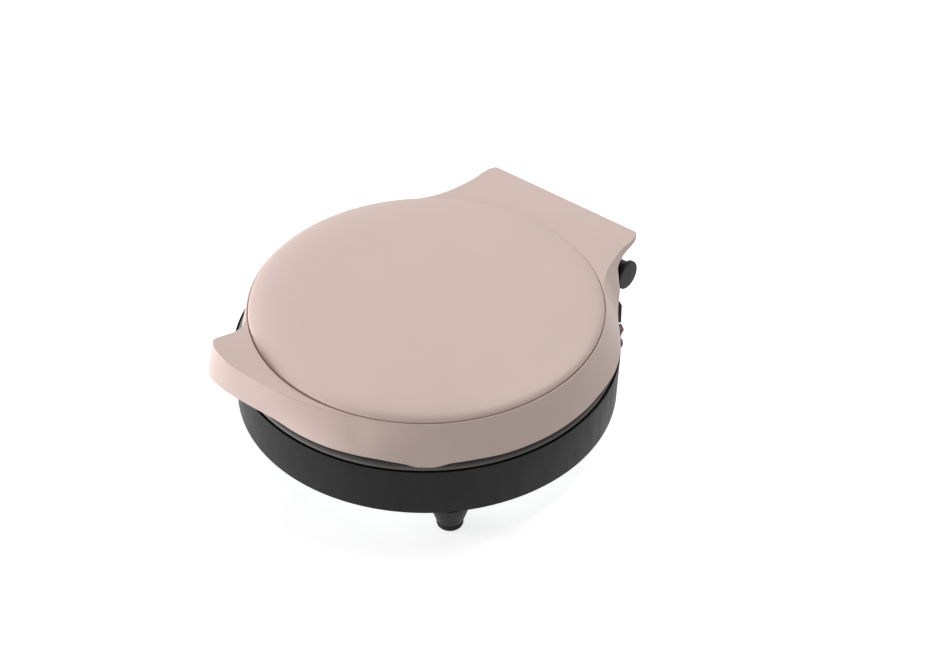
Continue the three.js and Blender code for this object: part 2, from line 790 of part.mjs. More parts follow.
function baseShell() {
  const coverLedgeR = shellInnerR - coverLedgeWidth;
  const body = turned([
    [shellInnerR, footHeight], [lowWallR - shellRound, footHeight], [lowWallR, footHeight + shellRound],
    [baseR, wallTopZ], [shellInnerR, wallTopZ], [shellInnerR, coverLedgeZ + coverLedgeWall],
    [coverLedgeR, coverLedgeZ + coverLedgeWall], [coverLedgeR, coverLedgeZ], [shellInnerR, coverLedgeZ],
  ], bigSegments);
  const added = [];
  const removed = [];
  for (const angle of footAngles) {
    const at = polar(footAt, angle);
    const reach = shellInnerR + over - footAt;
    const bossTop = coverLedgeZ + footBossHeight;
    added.push(cylinder(footBossR, coverLedgeZ, bossTop, smallSegments).translate(...at, 0));
    const web = box(reach, footBossWeb, footBossHeight);
    web.translate(footAt + reach / 2, 0, coverLedgeZ + footBossHeight / 2);
    added.push(web.rotateZ(angle * degree));
    const hole = cylinder(footScrewR + runGap, coverLedgeZ - over, bossTop - over, screwSegments);
    removed.push(hole.translate(...at, 0));
  }
  const cutDepth = shellWall + wallDraft + 2 * over;
  const window = box(cutDepth, switchWidth + 2 * seat, switchHeight + 2 * seat);
  removed.push(onWall(window.translate(over - cutDepth / 2, 0, 0), switchAngle, switchZ));
  removed.push(onWall(radialCylinder(lensR + seat, over - cutDepth, over, smallSegments), lampAngle, lampZ));
  removed.push(onWall(radialCylinder(glandR + seat, over - cutDepth, over, smallSegments), 90, glandZ));
  for (const side of [-1, 1]) {
    const hole = radialCylinder(screwR + runGap, over - cutDepth, over, screwSegments);
    removed.push(onWall(hole, 90 + side * housingScrewAngle, housingScrewZ));
  }
  return combine(body, added, removed);
}

function bottomCover() {
  const top = bottomCoverZ + bottomCoverWall;
  const disc = cylinder(shellInnerR - seat, bottomCoverZ, top, bigSegments);
  const removed = footPlaces.map((at) => (
    cylinder(footScrewR + runGap, bottomCoverZ - over, top + over, screwSegments).translate(...at, 0)
  ));
  for (const angle of spread(ventCount)) {
    const slot = box(ventLength, ventWidth, bottomCoverWall + 2 * over);
    slot.translate(ventAt, 0, bottomCoverZ + bottomCoverWall / 2);
    removed.push(slot.rotateZ(angle * degree));
  }
  return combine(disc, [], removed);
}

function addFeet() {
  const top = bottomCoverZ - seat;
  const bottom = padHeight + seat;
  const holeR = footScrewR + runGap;
  footPlaces.forEach(([x, y], i) => {
    const foot = turned([
      [footBoreR, bottom], [footLowR, bottom], [footTopR, footHeight - seat], [footPlugR, footHeight - seat],
      [footPlugR, top], [holeR, top], [holeR, top - footScrewSeat], [footBoreR, top - footScrewSeat],
    ], footSegments);
    add(`foot_${i + 1}`, foot, blackPlastic).position.set(x, y, 0);
    const pad = turned([
      [0, 0], [padLowR, 0], [footLowR - padEdge, padEdge], [footLowR, padHeight],
      [footBoreR - seat, padHeight], [footBoreR - seat, padHeight + padPlug], [0, padHeight + padPlug],
    ], footSegments);
    add(`foot_pad_${i + 1}`, pad, rubber).position.set(x, y, 0);
    const footScrew = screw(footScrewLength, footScrewR);
    add(`foot_screw_${i + 1}`, footScrew, zincSteel).position.set(x, y, top - footScrewSeat - seat);
  });
}

function hingeHousing() {
  const top = wallTopZ - housingTop;
  const bottom = top - housingHeight;
  const from = (90 - housingAngle) * degree;
  const to = (90 + housingAngle) * degree;
  const plan = new THREE.Shape();
  plan.absarc(0, 0, housingR, from, to, false);
  plan.absarc(0, 0, lowWallR, to, from, true);
  plan.closePath();
  const bulge = new THREE.ExtrudeGeometry(plan, {
    depth: housingHeight, bevelEnabled: false, curveSegments: housingSteps,
  });
  const frontY = hingeY - barrelR;
  const arm = [
    [frontY, bottom], [frontY + armFootDepth, bottom],
    ...arcPoints(hingeY, hingeZ, barrelR, armTangentAngle, 180, arcSteps),
  ];
  const added = [slab(arm, armInnerX, armOuterX), slab(arm, -armOuterX, -armInnerX)];
  const removed = [
    alongX(cylinder(pinR + runGap, -armOuterX - over, armOuterX + over, smallSegments)),
    turned([[0, 0], [wallR(0) + seat, 0], [wallR(rimZ) + seat, rimZ], [0, rimZ]], bigSegments),
  ];
  for (const side of [-1, 1]) {
    const hole = radialCylinder(screwR + runGap, -over, housingHoleDepth, screwSegments);
    removed.push(onWall(hole, 90 + side * housingScrewAngle, housingScrewZ));
  }
  return combine(bulge.translate(0, 0, bottom), added, removed);
}

function addHousingScrews() {
  [['left', 1], ['right', -1]].forEach(([word, side]) => {
    const piece = screw(housingScrewLength).rotateY(Math.PI / 2);
    const seated = piece.translate(-shellWall - wallDraft - seat, 0, 0);
    add(`housing_screw_${word}`, onWall(seated, 90 + side * housingScrewAngle, housingScrewZ), zincSteel);
  });
}

function hingeCap(side) {
  const bore = pinR + runGap;
  const cap = turned([
    [bore, 0], [capShankR, 0], [capShankR, capWidth - capDiscWall], [barrelR, capWidth - capDiscWall],
    [barrelR, capWidth - capRound], [barrelR - capRound, capWidth], [0, capWidth],
    [0, pinInCap + seat], [bore, pinInCap + seat],
  ], 2 * smallSegments);
  cap.translate(0, 0, armOuterX + seat).rotateY(side * Math.PI / 2);
  return cap.translate(0, hingeY, hingeZ);
}

function hingePin() {
  const half = armOuterX + seat + pinInCap;
  return alongX(cylinder(pinR, -half, half, smallSegments));
}

// Rocker switch: the wall's face is at X 0, the long side runs along Z
function switchBody() {
  const face = seat + bezelWall;
  const bezel = box(bezelWall, bezelWidth, bezelHeight).translate(seat + bezelWall / 2, 0, 0);
  const length = switchBodyDepth + seat + over;
  const body = box(length, switchWidth, switchHeight).translate(length / 2 - switchBodyDepth, 0, 0);
  const pocket = box(pocketDepth + over, pocketWidth, pocketHeight);
  pocket.translate(face + (over - pocketDepth) / 2, 0, 0);
  return onWall(combine(bezel, [body], [pocket]), switchAngle, switchZ);
}

function switchRocker() {
  const crest = rockerFace + rockerHalf * Math.tan(rockerTilt * degree);
  const half = pocketWidth / 2 - seat;
  const outline = [
    [-rockerDeep, -rockerDeepHalf], [0, -rockerHalf], [crest, -rockerHalf], [rockerFace, 0],
    [crest, rockerHalf], [0, rockerHalf], [-rockerDeep, rockerDeepHalf],
  ].reverse();
  const rocker = slab(outline, -half, half).rotateZ(-Math.PI / 2).rotateY(rockerTilt * degree);
  return onWall(rocker, switchAngle, switchZ);
}

function lampLens() {
  const boreR = bulbR + seat;
  const lens = turned([
    [0, -lensFront], [boreR, -lensFront], [boreR, -lensLength], [lensR, -lensLength], [lensR, seat],
    [lensFlangeR, seat], [lensFlangeR, seat + lensFlangeWall],
    [lensDomeR, seat + lensFlangeWall + lensDome / 2], [0, seat + lensFlangeWall + lensDome],
  ], smallSegments);
  return onWall(lens.rotateY(Math.PI / 2), lampAngle, lampZ);
}

function lampBulb() {
  const front = -lensFront - seat;
  return onWall(radialCylinder(bulbR, front - bulbLength, front, screwSegments), lampAngle, lampZ);
}

function terminalBlock() {
  const block = box(terminalLength, terminalDepth, terminalHeight);
  return block.translate(0, terminalAt, coverLedgeZ + terminalHeight / 2);
}

function cordGland() {
  const gland = turned([
    [glandBoreR, -glandDepth], [glandR, -glandDepth], [glandR, seat], [glandFlangeR, seat],
    [glandFlangeR, seat + glandFlangeWall], [glandBoreR, seat + glandFlangeWall],
  ], footSegments);
  return onWall(gland.rotateY(Math.PI / 2), 90, glandZ);
}

const upperPlate = new THREE.Group();
upperPlate.position.z = upperRimZ;
upperPlate.rotation.x = Math.PI;
const lowerPlate = new THREE.Group();
lowerPlate.position.z = lowerRimZ;
group.add(upperPlate, lowerPlate);

add('lid_ring', lidRing(), rosePaint);
add('lid_cover', lidCover(), rosePaint);
add('lid_collar', lidCollar(), blackPlastic);
addCollarScrews();
addPlate('upper', upperDepth, upperPlate);
add('hinge_block', hingeBlock(), blackPlastic);
addHingeBlockScrews();
add('base_shell', baseShell(), blackPlastic);
add('base_rim', baseRim(), greyPlastic);
addPlate('lower', lowerDepth, lowerPlate);
add('bottom_cover', bottomCover(), sheetSteel);
addFeet();
add('hinge_housing', hingeHousing(), blackPlastic);
addHousingScrews();
add('hinge_pin', hingePin(), zincSteel);
add('hinge_cap_left', hingeCap(-1), blackPlastic);
add('hinge_cap_right', hingeCap(1), blackPlastic);
add('switch_body', switchBody(), blackPlastic);
add('switch_rocker', switchRocker(), redRocker);
add('lamp_lens', lampLens(), smokyLens);
add('lamp_bulb', lampBulb(), ceramic);
add('terminal_block', terminalBlock(), ceramic);
add('cord_gland', cordGland(), blackPlastic);

// The origin is the middle of the object's box, on the worktop
group.updateMatrixWorld(true);
const extent = new THREE.Box3().setFromObject(group, true);
const middle = extent.getCenter(new THREE.Vector3());
group.position.set(-middle.x, -middle.y, -extent.min.z);

export default group;
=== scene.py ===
import json
import math

import bmesh
import bpy
from mathutils import Matrix, Vector


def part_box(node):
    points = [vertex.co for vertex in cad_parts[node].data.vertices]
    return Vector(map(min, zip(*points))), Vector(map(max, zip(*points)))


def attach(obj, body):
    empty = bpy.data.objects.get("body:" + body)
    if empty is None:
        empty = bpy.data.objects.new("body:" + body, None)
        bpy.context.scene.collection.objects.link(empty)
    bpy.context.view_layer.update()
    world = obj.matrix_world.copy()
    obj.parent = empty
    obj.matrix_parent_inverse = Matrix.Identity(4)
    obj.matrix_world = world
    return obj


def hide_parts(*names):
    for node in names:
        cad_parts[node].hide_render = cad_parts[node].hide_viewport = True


# Electric pizza maker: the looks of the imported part.
# Sizes are in millimetres and angles in degrees, in the part's own frame.
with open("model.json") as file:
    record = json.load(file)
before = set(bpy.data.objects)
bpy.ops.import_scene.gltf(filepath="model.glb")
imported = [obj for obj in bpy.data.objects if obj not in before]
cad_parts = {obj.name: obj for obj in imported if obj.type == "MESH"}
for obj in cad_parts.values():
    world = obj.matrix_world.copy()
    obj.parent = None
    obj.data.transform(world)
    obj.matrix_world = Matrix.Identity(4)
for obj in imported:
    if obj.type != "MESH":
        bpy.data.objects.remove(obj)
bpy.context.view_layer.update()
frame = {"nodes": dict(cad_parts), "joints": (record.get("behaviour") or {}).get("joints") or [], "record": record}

MM = 0.001
FULL_TURN = 360
RIGHT_ANGLE = 90
REAR_ANGLE = 90


def cad_box(node):
    """Lowest and highest corner of a CAD node, in millimetres."""
    low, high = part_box(node)
    return low / MM, high / MM


def joint_place(name):
    joint = next(j for j in frame["joints"] if j["name"] == name)
    return Vector(joint["pos_m"]) / MM


# Levels and radii that the frame gives
ring_high = cad_box("lid_ring")[1]
cover_low, cover_high = cad_box("lid_cover")
collar_low, collar_high = cad_box("lid_collar")
upper_low, upper_high = cad_box("upper_plate")
lower_low, lower_high = cad_box("lower_plate")
shell_low, shell_high = cad_box("base_shell")
rim_low, rim_high = cad_box("base_rim")
bottom_high = cad_box("bottom_cover")[1]
block_low, block_high = cad_box("hinge_block")
hinge = joint_place("lid_hinge")
rocker_pivot = joint_place("switch_pivot")

disc_centre = Vector((0, (cover_low.y + cover_high.y) / 2, 0))
cover_r = (cover_high.x - cover_low.x) / 2
base_r = (shell_high.x - shell_low.x) / 2
flange_r = (lower_high.x - lower_low.x) / 2
base_rim_r = (rim_high.x - rim_low.x) / 2
wall_z = shell_high.z
base_z = shell_low.z
upper_rim_z = upper_low.z
lower_rim_z = lower_high.z

# Clearances and roundings
seat = 0.3
slip = 0.4
seam_round = 0.1
tiny_round = 0.35
small_round = 0.7
soft_round = 1.2

# Lid ring
groove_gap = 0.6
rim_width = 1.2
skirt_flare = 9.5
skirt_round = 1.1
skirt_height = 31
ledge_depth = 2.7
rim_z = cover_low.z + ledge_depth - seat
skirt_z = rim_z - skirt_height
groove_r = cover_r + groove_gap
ring_top_r = groove_r + rim_width
skirt_r = ring_top_r + skirt_flare
lid_wall = 2.6
ring_edge_round = 1.0
ledge_wall = 2.8
ledge_inset = 7
reach_blend = 8
tab_half = 72.4
tab_rear = ring_high.y - disc_centre.y
tab_blend = 9
tab_side_shares = [
    (19, 1.5), (20.7, 1.22), (22.4, 1), (24.5, 0.79), (26.1, 0.61), (28.9, 0.41),
    (32.7, 0.22), (37.2, 0.085), (43.9, 0.01), (49, 0),
]
tab_depth_shares = [
    (0, 0.14), (20, 0.14), (24, 0.18), (26, 0.26), (28, 0.38), (30, 0.52), (33, 0.72), (37, 0.92),
    (42, 1),
]
lip_reach = 28.2
lip_shares = [
    (218.5, 0), (222.2, 0.01), (226.4, 0.07), (228.8, 0.18), (230.1, 0.34), (230.8, 0.52), (231.3, 0.7),
    (231.7, 0.85), (232.3, 0.95), (233.6, 0.99), (235.4, 1), (237.8, 0.96), (240.2, 0.9), (243.8, 0.81),
    (250, 0.62), (258.6, 0.4), (267.7, 0.23), (275.7, 0.12), (283.1, 0.045), (289, 0),
]
lower_reach = 23.7
lower_shares = [
    (214, 0), (219, 0.02), (223, 0.07), (226, 0.2), (228.3, 0.42), (229.6, 0.66), (230.6, 0.86),
    (231.6, 0.97), (232.8, 1), (235, 0.975), (239, 0.82), (244.8, 0.54), (250.6, 0.285), (255, 0.135),
    (260.3, 0.02), (264, 0),
]
flare_shares = [(25, 0), (28, 0.1), (31, 0.4), (34, 0.75), (38, 0.95), (42, 1)]
flank_reach = 4
flank_shares = [
    (28, 0), (31, 0.65), (34, 0.9), (38, 0.6), (44, 0.4), (52, 0.38), (60, 0.55), (68, 0.5), (75, 0.2),
    (82, 0),
]
tuck_depth = 4
tuck_shares = [
    (180, 0), (195, 0.3), (203, 0.85), (209, 1), (215, 1), (219, 0.9), (223, 0.6), (227, 0.2), (230, 0),
]
edge_lift = 2.8
edge_lift_shares = [
    (262, 0), (280, 0.25), (287, 0.5), (294, 0.6), (300, 0.2), (303.3, -0.2), (306.6, -1.05),
    (310.8, -1.1), (313.3, -0.65), (316.2, 0.05), (323, 0.25), (333, 0),
]
lip_rise = 7
lip_lean_share = 1.23
lean_angle = 308.4
rise_shares = [
    (218, 0), (224, 0.03), (227, 0.09), (229, 0.2), (230.5, 0.38), (232, 0.62), (234, 0.84), (236, 0.96),
    (238, 1), (241, 0.92), (244, 0.73), (250, 0.49), (256, 0.41), (262, 0.33), (272, 0.16), (282, 0.05),
    (290, 0),
]
scoop_bend = 1.15
scoop_middle_share = 0.5 ** scoop_bend
wall_bow = 1.6
bow_shares = [(238, 0), (255, 0.7), (270, 1), (285, 0.9), (300, 0.45), (310, 0.3), (340, 0.3), (352, 0)]
coarse_step = 1.5
fine_step = 0.4
fine_spans = [(14, 166), (216, 242), (300, 316)]
wall_steps = 8
scoop_steps = 12
round_steps = 4
shoulder_steps = 12

# Lid cover
dome_power = 7
dome_round = 2.5
cover_wall = 2.2
dome_steps = 44
dome_crowding = 2.4
cover_inner_share = 0.985
cover_under_shares = [0, 0.6, 0.85, 0.97, 1]

# Lid collar
collar_wall = 4.1
collar_neck_wall = 2.5
collar_lip_width = 3
collar_lip_wall = 2.5
collar_flange_drop = 23.5
collar_flange_wall = 2.8
collar_boss_r = 2.8
collar_screw_count = 4
flange_drop = 2.5
flange_wall = 2.5

# Cooking plates
plate_rim_r = flange_r - 4
plate_rim_width = 4
dish_draft = 4
face_r = plate_rim_r - plate_rim_width - dish_draft
plate_wall = 3.5
draft_width = 1.5
boss_height = 10
boss_r = 4
boss_at = 52
boss_angles = [30, 150, 270]
dish_round = 1.5

# Base
wall_draft = 2
shell_wall = 3.2
low_wall_r = base_r - wall_draft
shell_inner_r = low_wall_r - shell_wall
shoulder_width = 7.4
shoulder_edge = 0.4
parting_width = 1.4
parting_depth = 2.2
shell_lip = 0.9
rim_plate_wall = 2.8
rim_ledge_wall = 2.5
rim_ledge_width = 5.6
rim_neck_wall = 2.6
spigot_wall = 2.6
cover_ledge_width = 3.7
cover_ledge_wall = 2.5

# Feet
foot_count = 4
foot_low_r = 10.3
foot_plug_r = 13.5
foot_bore_r = 4.2
foot_round = 3
pad_low_r = 7
pad_plug = 7
tread_steps = 6

# Hinge
barrel_r = 12
block_r = 10.5
cap_shank_r = 9.8
cap_disc_wall = 4
cap_bore_r = 3.3
cap_round_steps = 6
pin_in_cap = 10.3
arm_foot_depth = 6
arm_tangent_angle = -25
arm_steps = 40
stop_lean = 12
block_steps = 48
housing_angle = 33
housing_height = 17.5
housing_top = 3
housing_reach = 11.5
housing_steps = 64
block_bore_r = 3.6
block_front_drop = 21
tab_pad_width = 16
tab_pad_length = 24
tab_pad_drop = 5
tab_pad_reach = 18.5

# Switch, lamp and gland
switch_angle = 50
bezel_width = 13
bezel_height = 19
bezel_wall = 1.9
switch_width = 11
switch_height = 16.4
switch_depth = 16
pocket_width = 8.6
pocket_height = 13.8
pocket_depth = 9
rocker_half = 5.8
rocker_face = 5
rocker_deep = 5
rocker_deep_half = 3.5
rocker_tilt = 10
rocker_dish_power = 1.6
rocker_steps = 16
lamp_angle = 43.5
lamp_drop = 10.1
lens_r = 4
lens_flange_r = 5.2
lens_flange_wall = 1.2
lens_dome = 2.3
lens_length = 6.2
lens_bore_r = 2.7
lens_front = 1.5
lens_steps = 9
gland_rise = 11.8
gland_r = 4.2
gland_bore_r = 3
gland_flange_r = 6.3
gland_flange_wall = 2.6
gland_depth = 9

# Screws
head_r = 3.2
head_height = 2
shaft_r = 1.3
screw_bore_r = 1.6
recess_width = 0.9
recess_length = 3.4
recess_depth = 1

# Facets round a full turn
big_segments = 240
foot_segments = 72
small_segments = 48

# Mesh making
over = 1
corner_share = 0.45
weld_distance = 0.001
smooth_angle = 35
bevel_segments = 3
bevel_angle = 40

# The band in which most noise values lie
noise_low = 0.35
noise_high = 0.65

# Camera, from the photograph's frame
image_width = 945
view_azimuth = 38.426
view_elevation = 39.048
camera_distance = 2300
pixels_per_mm = 1.302
aim_right = 35.417
aim_up = -13.854
sensor_width = 36
camera_reach_m = 100

# Stage
WHITE = (1, 1, 1, 1)
ambient = 0.16
floor_half = 2400
floor_grey = 0.8
floor_glow = 0.7
lamp_distance = 3000


# Outline arithmetic
def polar(radius, angle):
    turn = math.radians(angle)
    return Vector((radius * math.cos(turn), radius * math.sin(turn), 0))


def read_table(table, angle):
    """A smooth monotone curve through a table of (angle, share) rows."""
    if angle <= table[0][0]:
        return table[0][1]
    if angle >= table[-1][0]:
        return table[-1][1]
    i = max(k for k, row in enumerate(table) if row[0] <= angle)

    def slope(k):
        return (table[k + 1][1] - table[k][1]) / (table[k + 1][0] - table[k][0])

    def tangent(k):
        if k in (0, len(table) - 1):
            return 0
        before, after = slope(k - 1), slope(k)
        return 0 if before * after <= 0 else 2 * before * after / (before + after)

    span = table[i + 1][0] - table[i][0]
    t = (angle - table[i][0]) / span
    rise = table[i + 1][1] - table[i][1]
    start, end = tangent(i) * span, tangent(i + 1) * span
    return table[i][1] + t * (start + t * (3 * rise - 2 * start - end + t * (start + end - 2 * rise)))


def soft_min(a, b, blend):
    h = max(blend - abs(a - b), 0) / blend
    return min(a, b) - h * h * blend / 4


def from_rear(angle):
    return abs((angle - REAR_ANGLE + FULL_TURN / 2) % FULL_TURN - FULL_TURN / 2)


def top_radius(angle):
    away = from_rear(angle)
    corner_r = math.hypot(tab_half, tab_rear)
    side = ring_top_r + (corner_r - ring_top_r) * read_table(tab_side_shares, away)
    if away > tab_side_shares[-1][0]:
        return ring_top_r + lip_reach * read_table(lip_shares, angle)
    return soft_min(side, tab_rear / math.cos(math.radians(away)), tab_blend)


def edge_depth(angle):
    lift = edge_lift * read_table(edge_lift_shares, angle)
    return skirt_height * read_table(tab_depth_shares, from_rear(angle)) - lift


def lower_radius(angle):
    away = from_rear(angle)
    if away < RIGHT_ANGLE:
        flare = skirt_flare * read_table(flare_shares, away)
        return top_radius(angle) + flare + flank_reach * read_table(flank_shares, away)
    reach = lower_reach * read_table(lower_shares, angle)
    return skirt_r + reach - tuck_depth * read_table(tuck_shares, angle)


def inward(outline, angle):
    turn = math.degrees(lid_wall / outline(angle))
    return min(outline(angle - turn), outline(angle), outline(angle + turn)) - lid_wall


def rounded(points, radius, closed=True, steps=round_steps):
    """The outline with each corner replaced by a short curve."""
    result = []
    count = len(points)
    for i, (x, y) in enumerate(points):
        if not closed and i in (0, count - 1):
            result.append((x, y))
            continue
        here = Vector((x, y))
        before = Vector(points[i - 1]) - here
        after = Vector(points[(i + 1) % count]) - here
        cut = min(radius, corner_share * before.length, corner_share * after.length)
        start = here + before.normalized() * cut
        end = here + after.normalized() * cut
        for k in range(steps + 1):
            t = k / steps
            result.append(tuple((1 - t) ** 2 * start + 2 * t * (1 - t) * here + t * t * end))
    return result


def arc(centre, radius, start, end, steps):
    """Points of an arc in a plane, from one angle to another."""
    angles = [math.radians(start + (end - start) * k / steps) for k in range(steps + 1)]
    return [(centre[0] + radius * math.cos(a), centre[1] + radius * math.sin(a)) for a in angles]


def quarter(centre, across, height, steps):
    """Points of a quarter ellipse, from its side to its top."""
    turns = [math.pi / 2 * k / steps for k in range(steps + 1)]
    return [(centre[0] + across * math.cos(t), centre[1] + height * math.sin(t)) for t in turns]


# Mesh helpers
def make_piece(name, points, faces):
    """A mesh object from points in millimetres, smooth but for its sharp edges."""
    mesh = bpy.data.meshes.new(name)
    mesh.from_pydata([Vector(p) * MM for p in points], [], faces)
    piece = bpy.data.objects.new(name, mesh)
    bpy.context.scene.collection.objects.link(piece)
    soften(piece)
    return piece


def soften(piece):
    work = bmesh.new()
    work.from_mesh(piece.data)
    bmesh.ops.remove_doubles(work, verts=work.verts, dist=weld_distance * MM)
    bmesh.ops.recalc_face_normals(work, faces=work.faces)
    for face in work.faces:
        face.smooth = True
    for edge in work.edges:
        edge.smooth = edge.calc_face_angle(0) < math.radians(smooth_angle)
    work.to_mesh(piece.data)
    work.free()


def turned(name, profile, segments, place=None, closed=True):
    """Turns a profile of (radius, height) about the Z axis; place then moves it."""
    place = place or Matrix.Translation(disc_centre)
    points = []
    rings = []
    for radius, height in profile:
        if radius < weld_distance:
            rings.append([len(points)] * segments)
            points.append(place @ Vector((0, 0, height)))
            continue
        rings.append(range(len(points), len(points) + segments))
        turns = [polar(radius, FULL_TURN * k / segments) for k in range(segments)]
        points.extend(place @ (turn + Vector((0, 0, height))) for turn in turns)
    pairs = list(zip(rings, rings[1:]))
    if closed:
        pairs.append((rings[-1], rings[0]))
    faces = []
    for low, high in pairs:
        for k in range(segments):
            after = (k + 1) % segments
            corners = list(dict.fromkeys([low[k], low[after], high[after], high[k]]))
            if len(corners) > 2:
                faces.append(corners)
    return make_piece(name, points, faces)


def prism(name, outline, start, end, place=None):
    """A closed outline of (Y, Z) points drawn along X from start to end."""
    place = place or Matrix.Identity(4)
    count = len(outline)
    points = [place @ Vector((x, y, z)) for x in (start, end) for y, z in outline]
    sides = [[k, (k + 1) % count, count + (k + 1) % count, count + k] for k in range(count)]
    caps = [list(range(count)), list(range(count, 2 * count))]
    return make_piece(name, points, sides + caps)


def middle_of(low, high, level=0):
    """The place over the middle of a box, at a level."""
    return Matrix.Translation(((low.x + high.x) / 2, (low.y + high.y) / 2, level))


def rod(name, radius, start, end, place):
    profile = [(0, start), (radius, start), (radius, end), (0, end)]
    return turned(name, profile, small_segments, place, False)


def block(name, low, high, place=None):
    outline = [(low[1], low[2]), (high[1], low[2]), (high[1], high[2]), (low[1], high[2])]
    return prism(name, outline, low[0], high[0], place)


def settle(piece):
    """Makes the result of a piece's modifiers its mesh."""
    graph = bpy.context.evaluated_depsgraph_get()
    mesh = bpy.data.meshes.new_from_object(piece.evaluated_get(graph))
    piece.modifiers.clear()
    piece.data = mesh
    return piece


def combine(piece, others, operation):
    for other in others:
        step = piece.modifiers.new("combine", "BOOLEAN")
        step.operation = operation
        step.solver = "EXACT"
        step.object = other
        settle(piece)
        bpy.data.objects.remove(other)
    soften(piece)
    return piece


def bevel(piece, width):
    step = piece.modifiers.new("bevel", "BEVEL")
    step.width = width * MM
    step.segments = bevel_segments
    step.limit_method = "ANGLE"
    step.angle_limit = math.radians(bevel_angle)
    step.use_clamp_overlap = True
    settle(piece)
    soften(piece)
    return piece


def join(piece, others):
    """Adds the other pieces' faces to the first piece's mesh."""
    work = bmesh.new()
    for source in [piece] + others:
        work.from_mesh(source.data)
    work.to_mesh(piece.data)
    work.free()
    for other in others:
        bpy.data.objects.remove(other)
    return piece


# Materials
class Look:
    """A node material around one principled shader, read in object space."""

    def __init__(self, name):
        self.material = bpy.data.materials.new(name)
        self.material.use_nodes = True
        self.nodes = self.material.node_tree.nodes
        self.links = self.material.node_tree.links
        self.shader = self.nodes["Principled BSDF"]
        self.place = self.nodes.new("ShaderNodeTexCoord").outputs["Object"]

    def set(self, **values):
        for name, value in values.items():
            socket = self.shader.inputs[name.replace("_", " ")]
            if isinstance(value, bpy.types.NodeSocket):
                self.links.new(value, socket)
            else:
                socket.default_value = value

    def stretched(self, scale):
        node = self.nodes.new("ShaderNodeMapping")
        node.inputs["Scale"].default_value = scale
        self.links.new(self.place, node.inputs["Vector"])
        return node.outputs["Vector"]

    def noise(self, size, detail, stretch=(1, 1, 1)):
        """Noise whose features are about size millimetres across."""
        node = self.nodes.new("ShaderNodeTexNoise")
        node.inputs["Scale"].default_value = 1 / (size * MM)
        node.inputs["Detail"].default_value = detail
        self.links.new(self.stretched(stretch), node.inputs["Vector"])
        return node.outputs["Fac"]

    def cells(self, size):
        node = self.nodes.new("ShaderNodeTexVoronoi")
        node.inputs["Scale"].default_value = 1 / (size * MM)
        self.links.new(self.place, node.inputs["Vector"])
        return node.outputs

    def between(self, value, low, high, start=noise_low, end=noise_high):
        node = self.nodes.new("ShaderNodeMapRange")
        for name, number in zip(("From Min", "From Max", "To Min", "To Max"), (start, end, low, high)):
            node.inputs[name].default_value = number
        self.links.new(value, node.inputs["Value"])
        return node.outputs["Result"]

    def tint(self, value, dark, light):
        node = self.nodes.new("ShaderNodeValToRGB")
        node.color_ramp.elements[0].position = noise_low
        node.color_ramp.elements[1].position = noise_high
        node.color_ramp.elements[0].color = (*dark, 1)
        node.color_ramp.elements[1].color = (*light, 1)
        self.links.new(value, node.inputs["Fac"])
        return node.outputs["Color"]

    def mix(self, factor, first, second):
        node = self.nodes.new("ShaderNodeMix")
        node.data_type = "RGBA"
        self.links.new(factor, node.inputs["Factor"])
        for name, value in (("A", first), ("B", second)):
            socket = next(s for s in node.inputs if s.name == name and s.type == "RGBA")
            if isinstance(value, bpy.types.NodeSocket):
                self.links.new(value, socket)
            else:
                socket.default_value = (*value, 1)
        return next(s for s in node.outputs if s.type == "RGBA")

    def bump(self, heights):
        """Stacks bumps given as (height socket, depth in millimetres) pairs."""
        normal = None
        for height, depth in heights:
            node = self.nodes.new("ShaderNodeBump")
            node.inputs["Strength"].default_value = 1
            node.inputs["Distance"].default_value = depth * MM
            self.links.new(height, node.inputs["Height"])
            if normal:
                self.links.new(normal, node.inputs["Normal"])
            normal = node.outputs["Normal"]
        self.set(Normal=normal)


def scaled(color, factor):
    return tuple(channel * factor for channel in color)


def rose_paint():
    look = Look("rose_paint")
    rose = (0.615, 0.482, 0.437)
    pearl = (0.8, 0.69, 0.66)
    drift = look.noise(size=70, detail=2)
    flakes = look.cells(size=0.45)["Color"]
    body = look.tint(drift, dark=scaled(rose, 0.99), light=scaled(rose, 1.015))
    speck = look.between(look.noise(size=0.5, detail=1), low=0, high=0.1, start=0.55, end=0.75)
    look.set(
        Base_Color=look.mix(speck, body, pearl),
        Metallic=0.1,
        Specular_IOR_Level=0.38,
        Roughness=look.between(look.noise(size=26, detail=4), low=0.49, high=0.53),
    )
    orange_peel = look.noise(size=2.6, detail=2)
    look.bump([(orange_peel, 0.012), (flakes, 0.002)])
    return look.material


def black_plastic():
    look = Look("black_plastic")
    grain = look.noise(size=0.55, detail=3)
    scuffs = look.noise(size=9, detail=6, stretch=(1, 1, 0.25))
    look.set(
        Base_Color=look.tint(
            look.noise(size=45, detail=3),
            dark=(0.007, 0.007, 0.0072),
            light=(0.0095, 0.0095, 0.0098),
        ),
        Roughness=look.between(scuffs, low=0.48, high=0.56),
        Specular_IOR_Level=0.2,
    )
    look.bump([(grain, 0.018), (look.noise(size=60, detail=2), 0.05)])
    return look.material


def grey_plastic():
    look = Look("grey_plastic")
    look.set(
        Base_Color=look.tint(
            look.noise(size=30, detail=4),
            dark=(0.138, 0.134, 0.129),
            light=(0.162, 0.158, 0.152),
        ),
        Roughness=look.between(look.noise(size=7, detail=5), low=0.5, high=0.62),
        Specular_IOR_Level=0.35,
    )
    look.bump([(look.noise(size=0.5, detail=3), 0.015)])
    return look.material


